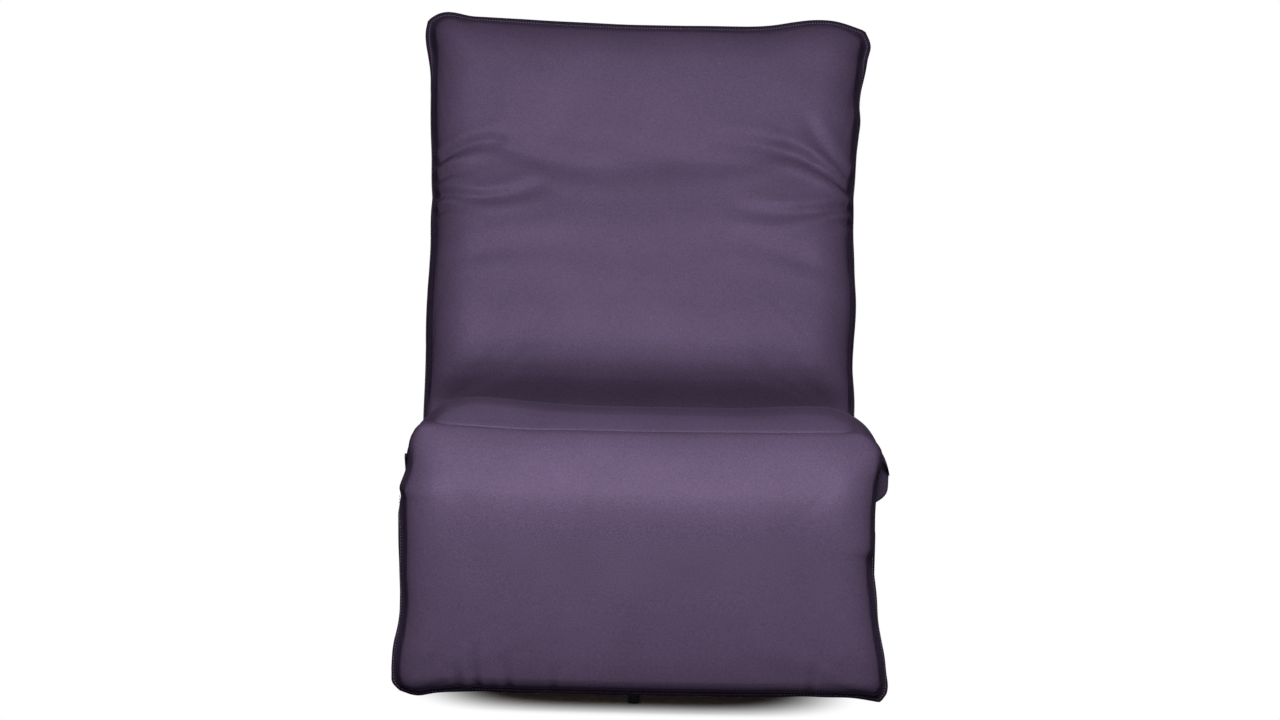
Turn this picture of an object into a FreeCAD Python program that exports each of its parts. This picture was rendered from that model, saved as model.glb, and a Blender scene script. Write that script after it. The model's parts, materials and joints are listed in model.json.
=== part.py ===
"""Armless recliner: upholstered seat, reclining back, tilting headrest and a linkage footrest.

Frame: +Z up, -Y is the front, +X is the viewer's right, origin on the floor under the middle.
Sizes are millimetres and degrees and live in the sheet "Sizes"; "Places" holds the points
that follow from them.
"""
import FreeCAD
import Part
import math
import os
import re
import Sketcher

Vector = FreeCAD.Vector
Rotation = FreeCAD.Rotation
Placement = FreeCAD.Placement
AXIS_X = Vector(1, 0, 0)
LEFT = -1
RIGHT = 1
SIDES = ((LEFT, "left"), (RIGHT, "right"))
SAME_PLACE = 1e-3
CUT_PAST = 1

SIZES = [
    # footrest linkage, in the plane of the links
    ("seam_reach", 448, "seam between seat nose and footrest, ahead of the middle"),
    ("seam_drop", 31, "that seam below the top of the seat: the footrest turns about it"),
    ("front_pivot_reach", 258, "fixed pivot of the front link, ahead of the middle"),
    ("front_pivot_drop", 157, "that pivot below the top of the seat"),
    ("pivot_base_reach", 86, "front pivot to rear pivot, rearward"),
    ("pivot_base_drop", 27, "front pivot to rear pivot, downward"),
    ("low_joint_back", 106, "front pivot to the low joint of the front link, rearward"),
    ("high_joint_back", 98, "front pivot to the high joint of the front link, rearward"),
    ("high_joint_drop", 130, "front pivot to the high joint, downward"),
    ("joint_space", 50, "low joint below the high joint"),
    ("link_width", 20, "width of a footrest link"),
    ("eye_radius", 11, "rounded end of a footrest link"),
    ("torque_share", 0.25, "place of the torque tube along the front link"),
    ("torque_radius", 9.5, "torque tube"),
    # plates and pins
    ("round_sides", 12, "flats that stand for the round of tubes, eyes and feet"),
    ("rivet_sides", 8, "flats that stand for the round of rivets, bolts and screws"),
    ("seat_plate_inset", 60, "inner face of the seat plate inside the side of the seat"),
    ("plate_thickness", 4, "steel links and plates"),
    ("plate_space", 3, "space between neighbouring plates"),
    ("pin_radius", 4, "rivet shank"),
    ("pin_running_gap", 0.06, "radial clearance of a turning hole"),
    ("pin_head_radius", 8, "rivet head"),
    ("pin_head_thickness", 2.4, "rivet head"),
    ("pin_collar_radius", 7, "shoulder between two plates"),
    ("plate_side_gap", 0.1, "side clearance of a turning link"),
    # base
    ("panel_outset", 32, "inner face of a side panel outside that of the seat plate"),
    ("panel_thickness", 18, "plywood panels"),
    ("panel_front_gap", 11, "front edge of the side panels behind the footrest board"),
    ("panel_rear", 254, "rear edge of the side panels, behind the middle"),
    ("panel_bottom", 45, "underside of the side panels"),
    ("panel_top_gap", 15, "top of the side panels below the seat's sides"),
    ("panel_corner", 16, "cut corners of the side panels"),
    ("cover_thickness", 11, "padded cover on the panels"),
    ("cover_edge", 5, "cover past the panel edges"),
    ("rear_panel_bottom", 60, "underside of the rear panel"),
    ("rear_panel_top_drop", 7, "top of the rear panel below that of the side panels"),
    ("tube_size", 22, "square cross tubes"),
    ("tube_wall", 2, "cross tube wall"),
    ("tube_bottom", 40, "underside of the cross tubes"),
    ("front_tube_back", 72, "front cross tube behind the front edge of the side panels"),
    ("rear_tube_back", 190, "rear cross tube, behind the middle"),
    ("tube_plate_height", 48, "end plate of a cross tube"),
    ("tube_plate_width", 36, "end plate of a cross tube"),
    ("tube_plate_thickness", 3, "end plate of a cross tube"),
    ("tube_bolt_height", 80, "bolt in the end plate"),
    ("rail_bottom", 96, "underside of the base rails"),
    ("rail_inner_top", 148, "top of the inner flange of a base rail"),
    ("rail_outer_top", 134, "top of the outer flange of a base rail"),
    ("rail_front", 190, "front end of the base rails, ahead of the middle"),
    ("rail_rear", 200, "rear end of the base rails, behind the middle"),
    ("bolt_radius", 3.5, "panel bolts"),
    ("bolt_head_radius", 6.5, "panel bolts"),
    ("bolt_head_height", 5, "panel bolts"),
    ("bolt_depth", 14, "bolt in the panel"),
    ("rail_bolt_height", 116, "bolts of the base rails"),
    ("rail_bolt_front", 40, "front bolt of a base rail, ahead of the middle"),
    ("rail_bolt_rear", 80, "rear bolt of a base rail, behind the middle"),
    ("foot_radius", 16, "corner foot at the top"),
    ("foot_tip_radius", 12, "corner foot at the floor"),
    ("front_foot_reach", 170, "front corner feet, ahead of the middle"),
    ("rear_foot_back", 222, "rear corner feet, behind the middle"),
    ("support_radius", 9.5, "support foot under the front tube"),
    ("support_height", 27, "glide of the support foot"),
    ("support_stem", 6, "stem radius of the support foot"),
    # swing links that carry the seat
    ("swing_front_reach", 110, "front swing pivot on the base, ahead of the middle"),
    ("swing_rear_back", 150, "rear swing pivot on the base, behind the middle"),
    ("swing_pivot_height", 130, "swing pivots on the base"),
    ("swing_length", 90, "swing link between its pivots"),
    ("swing_lean", 35, "rearward lean of the links at rest, degrees"),
    ("swing_width", 24, "width of a swing link"),
    # seat
    ("plate_top_drop", 129, "top of the seat plate below the top of the seat"),
    ("plate_eye", 20, "metal round a seat plate pivot"),
    ("plate_corner", 5, "cut corner at the back pivot"),
    ("lug_half_width", 14, "lugs of the seat plate at the swing pivots, underside"),
    ("lug_reach", 26, "rear lug, behind its pivot"),
    ("lug_slope", 40, "lug, pivot to the end of its slope"),
    ("lug_rise", 30, "underside of the seat plate above the swing pivots"),
    ("seat_rail_drop", 155, "underside of the seat rails below the top of the seat"),
    ("seat_rail_height", 30, "seat rails"),
    ("seat_rail_width", 24, "seat rails"),
    ("seat_rail_foam", 20, "foam ahead of the seat rails"),
    ("seat_rail_rear", 140, "rear of the seat rails, behind the middle"),
    ("spring_wire", 3.6, "sinuous seat spring wire"),
    ("spring_width", 46, "width of a sinuous spring"),
    ("spring_count", 4, "sinuous springs"),
    ("spring_pitch", 140, "springs from middle to middle"),
    ("spring_waves", 6, "full waves of a spring"),
    ("clip_length", 8, "spring clip along the seat"),
    ("clip_size", 10.8, "spring clip across the wire"),
    ("spring_level", 9, "middle of the springs below the top of the seat rails"),
    ("seat_half_width", 350, "half width of the seat cushion"),
    ("seat_skirt_drop", 151, "bottom edge of the seat's sides below its top"),
    ("seat_crest", 451, "level of the seat"),
    ("seat_crown", 10, "crest of the seat cushion above that level"),
    ("crown_reach", 270, "that crest, ahead of the middle"),
    ("brow_reach", 350, "start of the slope to the nose, ahead of the middle"),
    ("brow_rise", 5, "that place above the level of the seat"),
    ("slope_reach", 415, "foot of that slope, ahead of the middle"),
    ("slope_drop", 8, "that place below the level of the seat"),
    ("nose_tip", 10, "thickness of the nose at its tip"),
    ("dish_back", 45, "rear of the top of the seat, behind the middle"),
    ("dish_drop", 16, "that place below the level of the seat"),
    ("hip_inset", 12, "rounded rear edge of the seat ahead of its rear"),
    ("hip_drop", 31, "that edge below the level of the seat"),
    ("tail_drop", 53, "end of that rounded edge below the level of the seat"),
    ("side_drop", 62, "start of the seat's rounded shoulder below its level"),
    ("shoulder_inset", 12, "lower turn of the shoulder inside the side of the seat"),
    ("shoulder_drop", 34, "that turn below the level of the seat"),
    ("turn_inset", 35, "upper turn of the shoulder inside the side of the seat"),
    ("turn_drop", 11, "that turn below the level of the seat"),
    ("flat_inset", 76, "end of the shoulder inside the side of the seat"),
    ("flat_rise", 7, "that end above the level of the seat"),
    ("seat_rear", 88, "rear of the seat cushion, behind the middle"),
    ("seat_front_gap", 8, "front of the seat cushion below the nose, behind the footrest board"),
    ("nose_height", 23, "nose over the footrest"),
    ("skirt_corner", 11, "cut lower rear corner of the seat's sides"),
    ("soft_gap", 1.5, "space round hard pieces in a cushion"),
    # footrest
    ("footrest_face_past", 2, "front of the stowed footrest pad ahead of the seam"),
    ("footrest_pad_thickness", 75, "footrest pad"),
    ("footrest_bottom", 40, "bottom of the stowed pad"),
    ("footrest_corner", 30, "rounded bottom corners of the pad"),
    ("footrest_round", 14, "rounded front edges of the pad"),
    ("board_thickness", 12, "footrest board"),
    ("board_inset", 20, "footrest board inside the sides of its pad"),
    ("board_rise", 22, "stowed board above the bottom of its pad"),
    ("board_top_drop", 16, "stowed board below the seam"),
    ("bracket_flange", 28, "flange of a footrest bracket"),
    ("bracket_flange_thickness", 3, "flange of a footrest bracket"),
    ("bracket_margin", 25, "bracket above and below its pivots"),
    ("bracket_heel", 13, "bracket behind its pivots"),
    ("screw_radius", 2, "bracket screws"),
    ("screw_depth", 9.5, "bracket screw in the board"),
    ("screw_inset", 11, "bracket screws from the inner edge of the flange"),
    ("screw_head_radius", 5, "bracket screws"),
    ("screw_head_height", 2.5, "bracket screws"),
    # back
    ("back_pivot_back", 208, "back pivot, behind the middle"),
    ("back_pivot_drop", 151, "back pivot below the top of the seat"),
    ("back_lean", 15, "lean of the upright back, degrees"),
    ("frame_half_depth", 12, "half the depth of the back frame"),
    ("stile_outset", 29, "outer face of the back stiles outside the inner face of the seat plate"),
    ("stile_width", 18, "back stiles"),
    ("stile_bottom", 22, "bottom of the stiles, up from the back pivot"),
    ("stile_top", 462, "top of the stiles, up from the back pivot"),
    ("back_rail_height", 35, "cross rails of the back frame"),
    ("back_rail_up", 40, "bottom cross rail, up from the back pivot"),
    ("strap_width", 24, "steel strap on a stile"),
    ("web_thickness", 2, "elastic webbing"),
    ("web_width", 50, "elastic webbing"),
    ("web_count", 4, "elastic webbing bands"),
    ("web_first", 110, "first band, up from the back pivot"),
    ("web_pitch", 80, "bands from middle to middle"),
    ("back_inset", 5, "side of the back cushion inside the side of the seat"),
    ("back_depth", 126, "front of the back cushion, ahead of the frame's middle"),
    ("lumbar_depth", 148, "front of the lumbar swell"),
    ("lumbar_up", 228, "lumbar swell, up from the back pivot"),
    ("chin_depth", 107, "lower front edge of the back cushion, ahead of the frame's middle"),
    ("chin_rise", 22, "that edge above the bottom of the cushion"),
    ("front_rise", 50, "start of the lumbar swell above the bottom of the cushion"),
    ("lip_depth", 130, "upper lip of the back cushion, ahead of the frame's middle"),
    ("side_turn_inset", 16, "first turn of the cushion's rounded front sides inside its side"),
    ("side_turn_depth", 92, "that turn ahead of the frame's middle"),
    ("side_round_inset", 56, "end of the rounded front sides inside the side of the cushion"),
    ("side_round_depth", 122, "that end ahead of the frame's middle"),
    ("frame_gap", 0.5, "space between the back frame and its cushion"),
    ("back_bottom", 36, "bottom of the back upholstery, up from the back pivot"),
    ("back_panel_rear", 48, "rear face of the padded rear panels"),
    ("back_panel_inset", 13, "sides of the padded rear panels inside the sides of the back cushion"),
    ("back_panel_top", 472, "top of the padded rear panel, up from the back pivot"),
    # headrest
    ("hinge_up", 480, "headrest hinge, up from the back pivot"),
    ("headrest_range", 35, "forward tilt of the headrest, degrees"),
    ("knuckle_gap", 1, "space between the back cushion and the headrest knuckle"),
    ("hinge_eye", 12, "eye of the headrest hinge"),
    ("arm_width", 16, "headrest hinge arm"),
    ("arm_top", 566, "top of the hinge arm, up from the back pivot"),
    ("headboard_half_depth", 9, "half the depth of the headrest board"),
    ("headboard_bottom", 500, "bottom of the headrest board, up from the back pivot"),
    ("headboard_top", 722, "top of the headrest board, up from the back pivot"),
    ("headrest_wrap", 490, "bottom of the headrest upholstery behind the hinge"),
    ("headrest_top", 752, "ears of the headrest, up from the back pivot"),
    ("headrest_dip", 18, "dip of the top edge between the ears"),
    ("ear_flare", 21, "tips of the ears past the sides of the back cushion"),
    ("ear_length", 136, "ears, along the sides"),
    ("ear_bow", 4, "ears past the sides at half their length"),
    ("ear_bow_drop", 76, "that place below the tips"),
    ("ear_corner", 18, "rounded tips of the ears"),
    ("crown_drop", 84, "start of the rounded top edge below the ears"),
    ("crown_shoulder_depth", 105, "rounded top edge at its middle, ahead of the frame's middle"),
    ("crown_shoulder_drop", 34, "rounded top edge at its middle, below the ears"),
    ("crown_depth", 50, "crest of the top edge, ahead of the frame's middle"),
    ("crown_rear_drop", 16, "rear of the top edge below the ears"),
    ("fold_gap", 2, "space between the webbing and the headrest knuckle"),
    ("headrest_panel_top", 736, "top of the padded rear panel of the headrest"),
    # release lever
    ("lever_reach", 100, "lever shaft, ahead of the middle"),
    ("lever_drop", 139, "lever shaft below the top of the seat"),
    ("lever_shaft_radius", 5, "lever shaft"),
    ("lever_gap", 3, "lever handle beside the seat cushion"),
    ("lever_thickness", 7, "lever handle"),
    ("lever_tip_reach", 60, "lever tip ahead of its shaft"),
    ("lever_tip_rise", 42, "lever tip above its shaft"),
    ("lever_hub_radius", 11, "lever hub"),
    ("lever_tip_radius", 4.5, "lever tip"),
    ("kicker_length", 91, "kicker, shaft to nose"),
    ("kicker_lean", 2.4, "kicker behind the vertical at rest, degrees"),
    ("kicker_nose", 7, "nose radius of the kicker"),
    ("coil_radius", 9, "outside of the return spring"),
    ("coil_wire", 2, "wire of the return spring"),
    ("coil_length", 9, "return spring"),
]

PLACES = [
    ("seat_plate_inner", "seat_half_width - seat_plate_inset"),
    ("panel_inner", "seat_plate_inner + panel_outset"),
    ("stile_outer", "seat_plate_inner + stile_outset"),
    ("footrest_half_width", "seat_half_width"),
    ("back_half_width", "seat_half_width - back_inset"),
    ("rear_panel_half_width", "back_half_width - back_panel_inset"),
    ("ear_reach", "back_half_width + ear_flare"),
    ("front_pivot_height", "seat_crest - front_pivot_drop"),
    ("plate_top", "seat_crest - plate_top_drop"),
    ("seat_rail_bottom", "seat_crest - seat_rail_drop"),
    ("seat_skirt_bottom", "seat_crest - seat_skirt_drop"),
    ("back_pivot_height", "seat_crest - back_pivot_drop"),
    ("lever_height", "seat_crest - lever_drop"),
    ("panel_top", "seat_skirt_bottom - panel_top_gap"),
    ("rear_panel_top", "panel_top - rear_panel_top_drop"),
    ("seam_height", "seat_crest - seam_drop"),
    ("nose_bottom", "seat_crest - nose_height"),
    ("footrest_face", "seam_reach + footrest_face_past"),
    ("board_rear", "footrest_face - footrest_pad_thickness - board_thickness"),
    ("board_half_width", "footrest_half_width - board_inset"),
    ("board_bottom", "footrest_bottom + board_rise"),
    ("board_top", "seam_height - board_top_drop"),
    ("panel_front", "board_rear - panel_front_gap"),
    ("front_tube_reach", "panel_front - front_tube_back"),
    ("seat_front", "board_rear - seat_front_gap"),
    ("seat_rail_front", "seat_front - seat_rail_foam"),
    ("lever_inner", "seat_half_width + lever_gap"),
    ("low_joint_drop", "high_joint_drop + joint_space"),
    ("front_pivot_y", "-front_pivot_reach"),
    ("front_pivot_z", "front_pivot_height"),
    ("rear_pivot_y", "-front_pivot_reach + pivot_base_reach"),
    ("rear_pivot_z", "front_pivot_height - pivot_base_drop"),
    ("low_joint_y", "front_pivot_y + low_joint_back"),
    ("low_joint_z", "front_pivot_z - low_joint_drop"),
    ("high_joint_y", "front_pivot_y + high_joint_back"),
    ("high_joint_z", "front_pivot_z - high_joint_drop"),
    ("rear_joint_y", "rear_pivot_y + low_joint_back"),
    ("rear_joint_z", "rear_pivot_z - low_joint_drop"),
    ("low_bracket_y", "-seam_reach + low_joint_back"),
    ("low_bracket_z", "seam_height - low_joint_drop"),
    ("high_bracket_y", "-seam_reach + high_joint_back"),
    ("high_bracket_z", "seam_height - high_joint_drop"),
    ("torque_y", "front_pivot_y + torque_share * low_joint_back"),
    ("torque_z", "front_pivot_z - torque_share * low_joint_drop"),
    ("swing_back", "swing_length * sin(swing_lean * 1deg)"),
    ("swing_rise", "swing_length * cos(swing_lean * 1deg)"),
    ("base_front_y", "-swing_front_reach"),
    ("base_rear_y", "swing_rear_back"),
    ("base_pivot_z", "swing_pivot_height"),
    ("seat_front_y", "-swing_front_reach + swing_back"),
    ("seat_rear_y", "swing_rear_back + swing_back"),
    ("seat_swing_z", "swing_pivot_height + swing_rise"),
    ("plate_step", "plate_thickness + plate_space"),
    ("link_plane", "seat_plate_inner - plate_step"),
    ("arm_plane", "seat_plate_inner - 2 * plate_step"),
    ("bracket_plane", "seat_plate_inner - 3 * plate_step"),
    ("swing_plane", "seat_plate_inner + plate_step"),
    ("base_plane", "seat_plate_inner + 2 * plate_step"),
    ("turning_radius", "pin_radius + pin_running_gap"),
    ("back_pivot_y", "back_pivot_back"),
    ("back_pivot_z", "back_pivot_height"),
    ("back_cos", "cos(back_lean * 1deg)"),
    ("back_sin", "sin(back_lean * 1deg)"),
    ("seat_rail_top", "seat_rail_bottom + seat_rail_height"),
    ("seat_rail_inner", "seat_plate_inner + plate_thickness"),
    ("seat_rail_outer", "seat_rail_inner + seat_rail_width"),
    ("strap_inner", "stile_outer - stile_width - plate_thickness"),
    ("arm_inner", "strap_inner - plate_step"),
    ("hinge_y", "back_pivot_y + hinge_up * back_sin"),
    ("hinge_z", "back_pivot_z + hinge_up * back_cos"),
]

doc = FreeCAD.newDocument("ArmlessRecliner")
sizes = doc.addObject("Spreadsheet::Sheet", "Sizes")
places = doc.addObject("Spreadsheet::Sheet", "Places")
NODES = []


# ---------------------------------------------------------------- sheets and expressions

SHEET_OF = {}


def bound(text):
    """Write each size or place name in an expression with the sheet it comes from."""
    def full_name(match):
        word = match.group(0)
        return SHEET_OF[word] + "." + word if word in SHEET_OF else word
    return re.sub(r"[A-Za-z_]\w*", full_name, str(text))


def value(text):
    """The number that an expression has now."""
    return float(sizes.evalExpression(bound(text)))


def fill_sheets():
    for row, (name, number, note) in enumerate(SIZES, start=1):
        sizes.set("A%d" % row, note)
        sizes.set("B%d" % row, str(number))
        sizes.setAlias("B%d" % row, name)
        SHEET_OF[name] = "Sizes"
    doc.recompute()
    for row, (name, formula) in enumerate(PLACES, start=1):
        places.set("A%d" % row, name)
        places.set("B%d" % row, "=" + bound(formula).replace("Places.", ""))
        places.setAlias("B%d" % row, name)
        SHEET_OF[name] = "Places"
    doc.recompute()


# ---------------------------------------------------------------- building blocks

def node(name, piece):
    """Name a finished piece; its label names its file."""
    piece.Label = name
    NODES.append(piece)
    return piece


def bind(piece, **expressions):
    for name, text in expressions.items():
        piece.setExpression(name, bound(text))


def put(piece, x, y, z):
    piece.setExpression("Placement.Base.x", bound(x))
    piece.setExpression("Placement.Base.y", bound(y))
    piece.setExpression("Placement.Base.z", bound(z))
    return piece


def box(x, y, z, length, depth, height):
    piece = doc.addObject("Part::Box", "Box")
    bind(piece, Length=length, Width=depth, Height=height)
    return put(piece, x, y, z)


def rod(x, y, z, radius, length, rotation, sides):
    piece = doc.addObject("Part::Prism", "Rod")
    piece.Placement = Placement(Vector(), rotation)
    bind(piece, Polygon=sides, Circumradius=radius, Height=length)
    return put(piece, x, y, z)


def rod_x(x, y, z, radius, length, sides="round_sides"):
    return rod(x, y, z, radius, length, Rotation(Vector(0, 1, 0), 90), sides)


def rod_y(x, y, z, radius, length):
    return rod(x, y, z, radius, length, Rotation(AXIS_X, -90), "rivet_sides")


def rod_z(x, y, z, radius, length):
    return rod(x, y, z, radius, length, Rotation(), "round_sides")


def taper(rings):
    """A solid that narrows from one level ring to the next."""
    sections = []
    for x, y, z, radius in rings:
        ring = doc.addObject("Part::RegularPolygon", "Ring")
        bind(ring, Polygon="round_sides", Circumradius=radius)
        sections.append(put(ring, x, y, z))
    piece = doc.addObject("Part::Loft", "Taper")
    piece.Sections = sections
    piece.Solid = True
    piece.Ruled = True
    return piece


def hole_x(x, y, z, radius, length):
    """A true round hole, for what turns in it."""
    piece = doc.addObject("Part::Cylinder", "Hole")
    piece.Placement = Placement(Vector(), Rotation(Vector(0, 1, 0), 90))
    bind(piece, Radius=radius, Height=length)
    return put(piece, x, y, z)


def fuse(pieces):
    if len(pieces) == 1:
        return pieces[0]
    piece = doc.addObject("Part::MultiFuse", "Fused")
    piece.Shapes = pieces
    return piece


def cut(base, tools):
    piece = doc.addObject("Part::Cut", "Drilled")
    piece.Base = base
    piece.Tool = fuse(tools)
    return piece


def group(pieces):
    """Loose repeats of one small part that share a node."""
    piece = doc.addObject("Part::Compound", "Set")
    piece.Links = pieces
    return piece


def side_x(side, inner, width):
    """Lower x of a piece that starts `inner` from the middle and is `width` wide."""
    if side == RIGHT:
        return inner
    return "-((%s) + (%s))" % (inner, width)


def outline(body, role, points):
    """A closed sketch whose corners are held by named sizes."""
    sketch = body.newObject("Sketcher::SketchObject", body.Name + "Outline")
    plane = [item for item in body.Origin.OriginFeatures if item.Role == role][0]
    sketch.AttachmentSupport = [(plane, "")]
    sketch.MapMode = "FlatFace"
    corners = [Vector(value(across), value(up), 0) for across, up in points]
    count = len(corners)
    for index in range(count):
        sketch.addGeometry(Part.LineSegment(corners[index], corners[(index + 1) % count]), False)
    for index in range(count):
        sketch.addConstraint(Sketcher.Constraint("Coincident", index, 2, (index + 1) % count, 1))
    for index, (across, up) in enumerate(points):
        for kind, text, number in (("DistanceX", across, corners[index].x),
                                   ("DistanceY", up, corners[index].y)):
            place = sketch.addConstraint(Sketcher.Constraint(kind, -1, 1, index, 1, number))
            sketch.setExpression("Constraints[%d]" % place, bound(text))
    return sketch


def plate(points, x, thickness, role="YZ_Plane"):
    """A flat piece cut to an outline in the side view, standing across X."""
    body = doc.addObject("PartDesign::Body", "Plate")
    pad = body.newObject("PartDesign::Pad", body.Name + "Pad")
    pad.Profile = outline(body, role, points)
    pad.setExpression("Length", bound(thickness))
    body.Tip = pad
    body.setExpression("Placement.Base.x", bound(x))
    return body


def front_plate(points, y, thickness):
    """A solid cut to an outline in the front view, from its rear face forward."""
    body = plate(points, "0", thickness, "XZ_Plane")
    body.setExpression("Placement.Base.y", bound(y))
    return body


def round_edges(body, radius, chosen):
    """Round the edges of a body's last feature that `chosen` picks."""
    doc.recompute()
    base = body.Tip
    names = ["Edge%d" % (index + 1) for index, edge in enumerate(base.Shape.Edges) if chosen(edge)]
    fillet = body.newObject("PartDesign::Fillet", body.Name + "Round")
    fillet.Base = (base, names)
    fillet.setExpression("Radius", bound(radius))
    body.Tip = fillet
    return body


def along(edge, axis):
    first, last = edge.Vertexes[0].Point, edge.Vertexes[-1].Point
    run = last - first
    return run.Length > 0 and abs(run.dot(axis)) > 0.999 * run.Length


def bar(x, thickness, width, stations):
    """A link through its joints: an eye at each one and a straight piece between neighbours."""
    pieces = []
    for across, up, eye in stations:
        pieces.append(rod_x(x, across, up, eye, thickness))
    for (y1, z1, _), (y2, z2, _) in zip(stations, stations[1:]):
        run = "sqrt(((%s) - (%s))^2 + ((%s) - (%s))^2)" % (y2, y1, z2, z1)
        piece = doc.addObject("Part::Box", "Straight")
        piece.Placement = Placement(Vector(), Rotation(AXIS_X, 1))
        turn = "atan2((%s) - (%s); (%s) - (%s))" % (z2, z1, y2, y1)
        piece.setExpression("Placement.Rotation.Angle", bound(turn))
        bind(piece, Length=thickness, Width=run, Height=width)
        # the piece is turned about its own corner, which lies half a width off the line
        put(piece, x, "(%s) + (%s) / 2 * ((%s) - (%s)) / (%s)" % (y1, width, z2, z1, run),
            "(%s) - (%s) / 2 * ((%s) - (%s)) / (%s)" % (z1, width, y2, y1, run))
        pieces.append(piece)
    return fuse(pieces)


def pin(side, plane, y, z):
    """A shoulder rivet fixed in the plate at `plane`; the next plate inward turns on it."""
    head = "pin_head_thickness"
    sides = "rivet_sides"
    collar = "plate_space - plate_side_gap"
    collar_x = "%s - plate_space + plate_side_gap" % plane
    outer = "%s + plate_thickness" % plane
    inner = "%s - plate_step - plate_side_gap - %s" % (plane, head)
    length = "plate_thickness + plate_step + plate_side_gap + 2 * " + head
    return [
        rod_x(side_x(side, inner, length), y, z, "pin_radius", length, sides),
        rod_x(side_x(side, outer, head), y, z, "pin_head_radius", head, sides),
        rod_x(side_x(side, collar_x, collar), y, z, "pin_collar_radius", collar, sides),
        rod_x(side_x(side, inner, head), y, z, "pin_collar_radius", head, sides),
    ]


def bore(side, plane, y, z, radius="turning_radius"):
    """A turning hole across the plate at `plane`."""
    return hole_x(side_x(side, "%s - plate_space / 2" % plane, "plate_thickness + plate_space"),
                  y, z, radius, "plate_thickness + plate_space")


def lean_put(piece, x, depth, up):
    """Place a piece of the leaning back: `depth` rearward and `up` from the back pivot."""
    piece.Placement = Placement(Vector(), Rotation(AXIS_X, -value("back_lean")))
    piece.setExpression("Placement.Rotation.Angle", bound("-back_lean"))
    return put(piece, x, "back_pivot_y + (%s) * back_cos + (%s) * back_sin" % (depth, up),
               "back_pivot_z + (%s) * back_cos - (%s) * back_sin" % (up, depth))


def lean_box(x, depth, up, length, thickness, height):
    piece = doc.addObject("Part::Box", "Leaning")
    bind(piece, Length=length, Width=thickness, Height=height)
    return lean_put(piece, x, depth, up)


def lean_feature(shape):
    """A shape drawn about the back pivot, then leaned with the back."""
    piece = doc.addObject("Part::Feature", "Cushion")
    piece.Shape = shape
    return lean_put(piece, "0", "0", "0")


def side_profile(edges, half_width):
    """A side view outline made solid across the whole width."""
    face = Part.Face(Part.Wire(Part.sortEdges(edges)[0]))
    face.translate(Vector(-half_width, 0, 0))
    return face.extrude(Vector(2 * half_width, 0, 0))


def chain(points):
    return [Part.makeLine(first, last) for first, last in zip(points, points[1:])]


# ---------------------------------------------------------------- base

def side_panels():
    corner = "panel_corner"
    points = [("-panel_front + " + corner, "panel_bottom"), ("panel_rear - " + corner, "panel_bottom"),
              ("panel_rear", "panel_bottom + " + corner), ("panel_rear", "panel_top - " + corner),
              ("panel_rear - " + corner, "panel_top"), ("-panel_front + " + corner, "panel_top"),
              ("-panel_front", "panel_top - " + corner), ("-panel_front", "panel_bottom + " + corner)]
    for side, word in SIDES:
        blank = plate(points, side_x(side, "panel_inner", "panel_thickness"), "panel_thickness")
        holes = [rod_x(side_x(side, "panel_inner", "bolt_depth"), y, z, "bolt_radius", "bolt_depth",
                       "rivet_sides") for y, z in bolt_places()]
        node("side_panel_" + word, cut(blank, holes))
        node("side_cover_" + word,
             box(side_x(side, "panel_inner + panel_thickness", "cover_thickness"),
                 "-panel_front - cover_edge", "panel_bottom", "cover_thickness",
                 "panel_front + panel_rear + 2 * cover_edge",
                 "panel_top - panel_bottom + cover_edge"))


def rear_panel():
    node("rear_panel", box("-panel_inner", "panel_rear - panel_thickness", "rear_panel_bottom",
                           "2 * panel_inner", "panel_thickness", "rear_panel_top - rear_panel_bottom"))
    node("rear_panel_cover",
         box("-panel_inner - panel_thickness", "panel_rear", "panel_bottom",
             "2 * (panel_inner + panel_thickness)", "cover_thickness",
             "rear_panel_top - panel_bottom"))


def bolt_places():
    return [("-rail_bolt_front", "rail_bolt_height"), ("rail_bolt_rear", "rail_bolt_height"),
            ("-front_tube_reach", "tube_bolt_height"), ("rear_tube_back", "tube_bolt_height")]


def panel_bolts():
    bolts = []
    for side, _ in SIDES:
        for y, z in bolt_places():
            held = "plate_thickness" if z == "rail_bolt_height" else "tube_plate_thickness"
            face = "panel_inner - %s" % held
            length = "%s + bolt_depth" % held
            head_x = side_x(side, "%s - bolt_head_height" % face, "bolt_head_height")
            bolts.append(fuse([
                rod_x(side_x(side, face, length), y, z, "bolt_radius", length, "rivet_sides"),
                rod_x(head_x, y, z, "bolt_head_radius", "bolt_head_height", "rivet_sides")]))
    node("panel_bolts", group(bolts))


def cross_tubes():
    """Square tubes between the side panels, with a bolted plate welded on each end."""
    wall = "tube_wall"
    thick = "tube_plate_thickness"
    inside = "panel_inner - " + thick
    span = "2 * (%s)" % inside
    ends = []
    for word, middle in (("front", "-front_tube_reach"), ("rear", "rear_tube_back")):
        front = "%s - tube_size / 2" % middle
        solid = box("-(%s)" % inside, front, "tube_bottom", span, "tube_size", "tube_size")
        hollow = box("-(%s)" % inside, "%s + %s" % (front, wall), "tube_bottom + " + wall,
                     span, "tube_size - 2 * " + wall, "tube_size - 2 * " + wall)
        node(word + "_cross_tube", cut(solid, [hollow]))
        for side, _ in SIDES:
            x = side_x(side, inside, thick)
            blank = box(x, "%s - tube_plate_width / 2" % middle, "panel_bottom", thick,
                        "tube_plate_width", "tube_plate_height")
            hole = rod_x(x, middle, "tube_bolt_height", "bolt_radius", thick, "rivet_sides")
            ends.append(cut(blank, [hole]))
    node("tube_end_plates", group(ends))


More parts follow.
